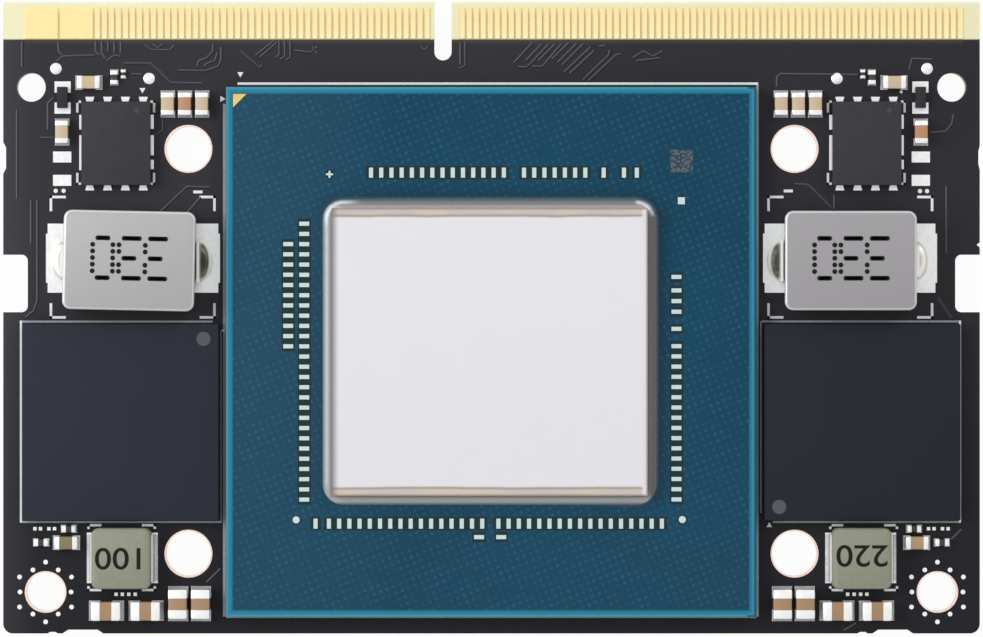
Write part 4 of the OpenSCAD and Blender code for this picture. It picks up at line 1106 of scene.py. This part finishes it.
# Tracks that show as low ridges in the mask, in millimetres
TRACKS = [
    [(-33.44, 19.69), (-33.44, 17.88)],
    [(-30.86, 19.69), (-30.83, 19.0), (-30.6, 18.75)],
    [(-28.3, 18.7), (-30.54, 18.62), (-31.0, 18.27)],
    [(-28.2, 19.69), (-28.2, 18.95), (-27.9, 18.75)],
    [(-27.75, 19.69), (-27.75, 18.9), (-27.5, 18.5)],
    [(-27.3, 19.69), (-27.3, 19.0)],
    [(-26.85, 19.69), (-26.85, 18.9)],
    [(-26.4, 19.69), (-26.4, 18.9)],
    [(-27.4, 18.3), (-26.9, 18.7), (-26.5, 18.62)],
    [(-26.2, 18.12), (-24.35, 18.12), (-23.8, 17.7), (-22.9, 16.75), (-20.6, 16.7)],
    [(-25.7, 17.36), (-24.95, 17.33)],
    [(-24.75, 19.5), (-24.3, 19.1), (-22.9, 19.06), (-22.6, 19.4)],
    [(-24.2, 19.5), (-23.8, 19.2), (-23.4, 19.5)],
    [(-22.4, 17.62), (-20.4, 17.58), (-19.46, 17.9), (-19.24, 18.4), (-19.24, 19.3)],
    [(-20.95, 17.95), (-20.85, 18.3), (-20.3, 18.5), (-19.85, 18.95), (-19.8, 19.5)],
    [(-20.5, 17.9), (-20.2, 18.15), (-19.7, 18.3), (-19.5, 18.9)],
    [(-17.93, 19.04), (-16.5, 17.78), (-16.35, 18.0)],
    [(-16.8, 18.69), (-15.49, 19.73)],
    [(-16.5, 18.55), (-15.3, 19.6)],
    [(-15.1, 19.73), (-15.1, 18.75), (-15.4, 18.55)],
    [(-14.7, 19.73), (-14.7, 18.6), (-15.05, 18.4)],
    [(-14.3, 19.73), (-14.3, 18.55), (-14.65, 18.35)],
    [(-14.1, 19.05), (-12.9, 18.9), (-12.4, 19.3)],
    [(-12.75, 19.4), (-12.45, 18.85)],
    [(-5.1, 19.3), (-4.75, 19.05), (-4.5, 19.35)],
    [(-2.2, 19.6), (-2.2, 18.1)],
    [(-1.85, 19.65), (-1.85, 17.95), (-2.3, 17.75)],
    [(1.6, 18.15), (2.95, 19.6)],
    [(2.45, 18.3), (3.6, 19.5)],
    [(3.35, 18.3), (4.55, 19.5)],
    [(4.75, 18.2), (6.1, 19.55)],
    [(5.05, 18.0), (6.55, 19.5)],
    [(1.9, 17.85), (2.5, 17.85), (2.8, 18.1), (4.1, 19.5)],
    [(2.9, 17.9), (3.6, 17.88), (3.9, 18.2), (5.0, 19.5)],
    [(4.33, 18.43), (5.54, 19.6)],
    [(5.2, 17.5), (7.1, 19.3)],
    [(5.6, 17.4), (7.35, 19.05)],
    [(6.55, 16.95), (8.4, 18.75), (8.45, 19.1)],
    [(6.95, 16.9), (8.85, 18.7), (9.2, 18.8)],
    [(7.65, 19.3), (8.1, 19.4)],
    [(10.1, 18.5), (10.8, 19.0), (11.5, 18.6), (12.2, 19.0)],
    [(10.3, 18.3), (11.2, 18.4), (12.0, 18.5)],
    [(-33.8, 14.85), (-33.8, 8.48)],
    [(-32.8, 8.37), (-32.8, 5.3)],
    [(-32.35, 8.37), (-32.35, 1.2), (-32.6, 0.5), (-33.2, 0.0)],
    [(-31.16, 15.7), (-31.6, 15.3), (-31.6, 13.4)],
    [(-32.2, 12.82), (-31.26, 12.82)],
    [(-23.55, 7.58), (-21.7, 9.34), (-20.1, 9.28)],
    [(-21.7, 7.46), (-20.7, 8.6)],
    [(-23.4, 14.17), (-23.4, 13.37), (-23.95, 13.0)],
    [(-20.28, -18.87), (-19.3, -17.9)],
    [(20.36, 16.49), (20.36, 17.15), (20.58, 17.37), (26.1, 17.3)],
    [(29.8, 17.7), (29.98, 18.47), (31.4, 18.4)],
    [(32.96, 14.5), (32.85, 13.83), (32.4, 13.28), (31.3, 13.17)],
    [(21.58, 9.52), (22.57, 9.47), (24.2, 7.87)],
    [(24.45, 8.75), (24.45, 7.76)],
    [(32.45, 9.4), (32.45, 4.6)],
    [(31.8, 1.48), (32.8, 0.0)],
    [(32.8, -15.8), (33.5, -15.1)],
    [(25.1, -22.3), (26.0, -21.8)],
]


def draw_tracks(name, paths, width, height):
    """Low ridges along paths: round wires that are flattened onto the board."""
    curve = bpy.data.curves.new(name, "CURVE")
    curve.dimensions = "3D"
    curve.bevel_depth = width / 2
    curve.bevel_resolution = 1
    curve.use_fill_caps = True
    for path in paths:
        spline = curve.splines.new("POLY")
        spline.points.add(len(path) - 1)
        for point, (x, y) in zip(spline.points, path):
            point.co = (x * MM, y * MM, 0, 1)
    piece = bpy.data.objects.new(name, curve)
    bpy.context.collection.objects.link(piece)
    only(piece)
    bpy.ops.object.convert(target="MESH")
    piece = bpy.context.object
    piece.scale = (1, 1, 2 * height / width)
    piece.location = (0, 0, BOARD_TOP)
    settle(piece)
    smooth(piece, 60)
    add_finish(piece, "track")
    return carry(piece, "board_laminate")


class MODULE_OT_board(bpy.types.Operator):
    """Finish the circuit board and draw its print and tracks"""
    bl_idname = "module.board"
    bl_label = "Circuit board"

    def execute(self, context):
        sizes = context.scene.module_sizes
        coat("circuit_board", "board")
        coat("hole_liners", "copper")
        board_print(sizes)
        draw_tracks("board_tracks", TRACKS, sizes.track_width, sizes.track_height)
        return {"FINISHED"}


class MODULE_OT_metal(bpy.types.Operator):
    """Finish the contacts, pads, vias and solder"""
    bl_idname = "module.metal"
    bl_label = "Contacts and solder"

    def execute(self, context):
        for node in ("upper_edge_contacts", "lower_edge_contacts"):
            coat(node, "gold")
        for node in ("solder_pads", "underside_pads", "processor_solder_balls", "test_points"):
            coat(node, "solder")
        coat("stitching_vias", "tin")
        for side in SIDES:
            coat(f"{side}_memory_solder_balls", "solder")
        return {"FINISHED"}


# Sizes of the painted shade round the processor's lands, in millimetres
LAND_SHADE_MARGIN = 0.12
LAND_SHADE_REACH = 0.215
LAND_SHADE_RING = 0.2


def land_shade_rings(sizes):
    """Dark sheets round the processor's lands, which nearly merge along a row: painted shade round each land.
    """
    top = corner_high("processor_substrate").z
    boxes = shells_of("processor_lands")
    piece = start_drawing("processor_land_shade_rings")
    for low, high in boxes:
        spot, size = (low + high) / 2 / MM, (high - low) / MM
        wider = size.x > 1.2 * size.y
        taller = size.y > 1.2 * size.x
        if not wider and not taller:
            draw_dot(spot.x, spot.y, size.x + LAND_SHADE_RING, top)
            continue
        l = size.x + 2 * (LAND_SHADE_REACH if taller else LAND_SHADE_MARGIN)
        w = size.y + 2 * (LAND_SHADE_REACH if wider else LAND_SHADE_MARGIN)
        draw_bar(spot.x, spot.y, l, w, top)
    return end_drawing(piece, sizes.print_height / 4, "teal_shade", "processor_laminate")


class MODULE_OT_processor(bpy.types.Operator):
    """Finish the processor's substrate, die, underfill and lands"""
    bl_idname = "module.processor"
    bl_label = "Processor"

    def execute(self, context):
        coat("processor_substrate", "teal")
        coat("processor_die", "silicon")
        coat("processor_underfill", "underfill")
        coat("processor_lands", "land")
        land_shade_rings(context.scene.module_sizes)
        coat("processor_pin_one_mark", "pin")
        return {"FINISHED"}


class MODULE_OT_memory(bpy.types.Operator):
    """Model the memory packages"""
    bl_idname = "module.memory"
    bl_label = "Memory packages"

    def execute(self, context):
        sizes = context.scene.module_sizes
        for side in SIDES:
            coat(f"{side}_memory_substrate", "memory_substrate")
            rounded_package(f"{side}_memory_mould", sizes.package_round, "memory_compound",
                            "memory")
        return {"FINISHED"}


# Digits of the power inductors, as rows of dots
DOT_DIGITS = {
    "0": ("01110", "10001", "10001", "10001", "10001", "10001", "01110"),
    "3": ("11110", "00001", "00001", "01110", "00001", "00001", "11110"),
}
DOT_LABEL = "330"
DOT_SIZE = 0.36
DOT_ROWS = 6
COLUMN_SHARE = 0.76
ADVANCE_SHARE = 3.96
LABEL_LEAD = 0.16
LEFT_TURN = -1.2


def dot_label(name, centre, top, sizes):
    """A printed number of separate dots that reads from the rear edge."""
    row = sizes.digit_height / MM / DOT_ROWS
    column, advance = row * COLUMN_SHARE, row * ADVANCE_SHARE
    piece = start_drawing(name)
    for place, digit in enumerate(DOT_LABEL):
        for i, line in enumerate(DOT_DIGITS[digit]):
            for j, lit in enumerate(line):
                if lit == "0":
                    continue
                y = centre.y / MM + LABEL_LEAD - (3 - i) * row
                for share in (0, 0.5) if line[j:j + 2] == "11" else (0,):
                    x = (place - 1) * advance + (j - 2 + share) * column
                    draw_dot(centre.x / MM - x, y, DOT_SIZE, top, 10)
    return end_drawing(piece, sizes.print_height / 2, "ink", "inductor_iron")


def turn_in_place(piece, centre, degrees):
    """Turns a piece's mesh about an upright axis."""
    spot = Matrix.Translation(centre)
    piece.data.transform(spot @ Matrix.Rotation(math.radians(degrees), 4, "Z") @ spot.inverted())


class MODULE_OT_power_inductors(bpy.types.Operator):
    """Model the pressed power inductors with their terminals and printed numbers"""
    bl_idname = "module.power_inductors"
    bl_label = "Power inductors"

    def execute(self, context):
        sizes = context.scene.module_sizes
        low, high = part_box("right_power_inductor_core")
        half = (high - low) / 2
        for side, turn in (("left", LEFT_TURN), ("right", 0)):
            node = f"{side}_power_inductor_core"
            centre = middle(node)
            piece = block(f"{node}_body", centre - half, centre + half)
            edit(piece)
            pick_edges(piece, upright)
            bevel(sizes.iron_corner, 8)
            pick_edges(piece, rim_at(high.z))
            bevel(sizes.iron_round, 4)
            pick_edges(piece, rim_at(low.z))
            bevel(sizes.iron_round / 3, 2)
            foot = low.z + sizes.iron_round / 2
            pick_edges(piece, lambda a, b: max(a.z, b.z) < foot)
            share = 1 - sizes.iron_draft / (high.x - low.x)
            outer = centre + Vector((SIDES[side] * half.x, 0, 0))
            bpy.ops.transform.resize(value=(share, 1, 1), center_override=outer)
            leave_edit()
            smooth(piece)
            add_finish(piece, "iron")
            carry(piece, "inductor_iron", node)
            for end in ("inner", "outer"):
                coat(f"{side}_power_inductor_{end}_terminal", f"{end}_terminal")
            number = dot_label(f"{side}_power_inductor_number", centre, high.z, sizes)
            for part in (piece, number):
                turn_in_place(part, centre, turn)
        return {"FINISHED"}


class MODULE_OT_power_stages(bpy.types.Operator):
    """Model the flat power stage packages"""
    bl_idname = "module.power_stages"
    bl_label = "Power stages"

    def execute(self, context):
        sizes = context.scene.module_sizes
        for side in SIDES:
            coat(f"{side}_power_stage_leadframe", "tin")
            rounded_package(f"{side}_power_stage_mould", sizes.package_round, "mould_compound",
                            "mould")
        return {"FINISHED"}


FERRITE_LABELS = {"left": "100", "right": "220"}
FERRITE_LEAD = {"left": 0.1, "right": 0.3}
FERRITE_DIGIT = 1.5
FERRITE_STRETCH = 1.16
TYPE_SHARE = 1.45
TYPE_WEIGHT = 0.014


def solid_label(name, text, centre, top, sizes):
    """A printed number in plain type that reads from the rear edge."""
    deselect()
    bpy.ops.object.text_add(location=(0, 0, 0))
    piece = bpy.context.object
    piece.name = name
    piece.data.body = text
    piece.data.align_x = "CENTER"
    piece.data.align_y = "CENTER"
    piece.data.size = FERRITE_DIGIT * TYPE_SHARE * MM
    piece.data.extrude = sizes.print_height / 4
    piece.data.offset = TYPE_WEIGHT * MM
    bpy.ops.object.convert(target="MESH")
    piece = bpy.context.object
    piece.rotation_euler = (0, 0, math.pi)
    piece.scale = (FERRITE_STRETCH, 1, 1)
    piece.location = (centre.x, centre.y, top + sizes.print_height / 4)
    settle(piece)
    add_finish(piece, "ink")
    return carry(piece, "inductor_ferrite")


class MODULE_OT_step_down_inductors(bpy.types.Operator):
    """Model the small step-down inductors with their terminals and printed numbers"""
    bl_idname = "module.step_down_inductors"
    bl_label = "Step-down inductors"

    def execute(self, context):
        sizes = context.scene.module_sizes
        for side in SIDES:
            node = f"{side}_step_down_inductor_core"
            low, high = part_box(node)
            piece = block(f"{node}_body", low, high)
            edit(piece)
            pick_edges(piece, upright)
            bevel(sizes.ferrite_corner, 3)
            pick_edges(piece, rim_at(high.z))
            bevel(sizes.ferrite_round, 2)
            leave_edit()
            smooth(piece)
            add_finish(piece, "ferrite")
            carry(piece, "inductor_ferrite", node)
            coat(f"{side}_step_down_inductor_terminals", "solder")
            spot = middle(node) + Vector((0, FERRITE_LEAD[side] * MM, 0))
            solid_label(f"{side}_step_down_inductor_number", FERRITE_LABELS[side], spot, high.z, sizes)
        return {"FINISHED"}


class MODULE_OT_capacitors(bpy.types.Operator):
    """Model the chip capacitors on the upper face"""
    bl_idname = "module.capacitors"
    bl_label = "Chip capacitors"

    def execute(self, context):
        for part in frame["record"]["subparts"]:
            if "_capacitor" in part["node"] and part["node"] != "underside_capacitors":
                node_chip(part["node"], part["material_slot"], context.scene.module_sizes)
        return {"FINISHED"}


class MODULE_OT_small_chips(bpy.types.Operator):
    """Model the chip resistors and the suppressors"""
    bl_idname = "module.small_chips"
    bl_label = "Small chips"

    def execute(self, context):
        sizes = context.scene.module_sizes
        chip_field("chip_resistors", "resistor", sizes)
        for side in SIDES:
            rounded_package(f"{side}_suppressor", sizes.package_round, "mould_compound",
                            "dark_mould")
        return {"FINISHED"}


class MODULE_OT_underside(bpy.types.Operator):
    """Model the boot flash and the capacitors on the lower face"""
    bl_idname = "module.underside"
    bl_label = "Underside"

    def execute(self, context):
        sizes = context.scene.module_sizes
        rounded_package("boot_flash", sizes.package_round, "mould_compound", "mould")
        chip_field("underside_capacitors", "olive_ceramic", sizes)
        return {"FINISHED"}


# Stage

# Lamps: name, place in metres, side, power
LAMPS = (
    ("key_lamp", (-0.32, 0.08, 0.26), 0.24, 0.95),
    ("fill_lamp", (0.24, 0.24, 0.3), 0.1, 0.2),
)
CAMERA_SHIFT = -0.05 * MM


def add_lamp(name, spot, side, power):
    """A square soft lamp that faces the middle of the floor."""
    light = bpy.data.lights.new(name, "AREA")
    light.shape = "SQUARE"
    light.size = side
    light.energy = power
    lamp = bpy.data.objects.new(name, light)
    lamp.location = spot
    lamp.rotation_euler = (-Vector(spot)).to_track_quat("-Z", "Y").to_euler()
    bpy.context.collection.objects.link(lamp)
    return lamp


SKY_LEVEL = 0.56
FLOOR_GLOW = 0.96


def seen_directly(shader):
    """1 for what the camera sees itself, in a mirror or through glass."""
    path = shader.add("ShaderNodeLightPath").outputs
    first = shader.plus(path["Is Camera Ray"], path["Is Glossy Ray"])
    return shader.math("ADD", first, path["Is Transmission Ray"], clamp=True)


def build_world(context):
    world = bpy.data.worlds.new("studio")
    context.scene.world = world
    world.use_nodes = True
    shader = Shader(world.node_tree)
    back = world.node_tree.nodes["Background"]
    shader.put(back.inputs["Color"], (1, 1, 1))
    lift = shader.times(seen_directly(shader), 1 - SKY_LEVEL)
    shader.put(back.inputs["Strength"], shader.plus(lift, SKY_LEVEL))


def build_floor(sizes, c):
    deselect()
    bpy.ops.mesh.primitive_plane_add(size=sizes.floor_side, location=(0, 0, 0))
    floor = bpy.context.object
    floor.name = "floor"
    material = bpy.data.materials.new("floor_finish")
    material.use_nodes = True
    shader = Shader(material.node_tree)
    surface = material.node_tree.nodes["Principled BSDF"]
    shader.put(surface.inputs["Base Color"], c.floor)
    shader.put(surface.inputs["Roughness"], 0.9)
    shader.put(surface.inputs["Specular IOR Level"], 0.1)
    glow = shader.add("ShaderNodeEmission", {"Color": (1, 1, 1), "Strength": 1.0}).outputs[0]
    share = shader.times(seen_directly(shader), FLOOR_GLOW)
    mixed = shader.add("ShaderNodeMixShader", {0: share, 1: surface.outputs[0], 2: glow}).outputs[0]
    shader.put(material.node_tree.nodes["Material Output"].inputs["Surface"], mixed)
    floor.data.materials.append(material)


class MODULE_OT_stage(bpy.types.Operator):
    """Set the floor, the soft lamps and the camera that looks straight down"""
    bl_idname = "module.stage"
    bl_label = "Stage"

    def execute(self, context):
        sizes = context.scene.module_sizes
        build_world(context)
        build_floor(sizes, context.scene.module_colours)
        for lamp in LAMPS:
            add_lamp(*lamp)
        lens = bpy.data.cameras.new("camera")
        lens.lens = lens.sensor_width * sizes.camera_height / sizes.view_width
        lens.clip_start = 0.01
        camera = bpy.data.objects.new("camera", lens)
        camera.location = (0, CAMERA_SHIFT, BOARD_TOP + sizes.camera_height)
        context.collection.objects.link(camera)
        context.scene.camera = camera
        context.scene.view_settings.view_transform = "Standard"
        return {"FINISHED"}


class MODULE_PT_steps(bpy.types.Panel):
    """Steps that build the module's looks, in order"""
    bl_label = "System on module"
    bl_idname = "MODULE_PT_steps"
    bl_space_type = "VIEW_3D"
    bl_region_type = "UI"
    bl_category = "Module"

    def draw(self, context):
        for step in STEPS:
            self.layout.operator(step.bl_idname)


STEPS = (
    MODULE_OT_stage,
    MODULE_OT_board,
    MODULE_OT_metal,
    MODULE_OT_processor,
    MODULE_OT_memory,
    MODULE_OT_power_inductors,
    MODULE_OT_power_stages,
    MODULE_OT_step_down_inductors,
    MODULE_OT_capacitors,
    MODULE_OT_small_chips,
    MODULE_OT_underside,
)
CLASSES = (FinishColours, FinishSizes, *STEPS, MODULE_PT_steps)


def register():
    for cls in CLASSES:
        bpy.utils.register_class(cls)
    bpy.types.Scene.module_colours = bpy.props.PointerProperty(type=FinishColours)
    bpy.types.Scene.module_sizes = bpy.props.PointerProperty(type=FinishSizes)


def unregister():
    del bpy.types.Scene.module_sizes
    del bpy.types.Scene.module_colours
    for cls in reversed(CLASSES):
        bpy.utils.unregister_class(cls)


def main():
    register()
    build_groups()
    build_finishes(bpy.context.scene.module_colours)
    for step in STEPS:
        family, action = step.bl_idname.split(".")
        getattr(getattr(bpy.ops, family), action)()


if __name__ == "__main__":
    main()
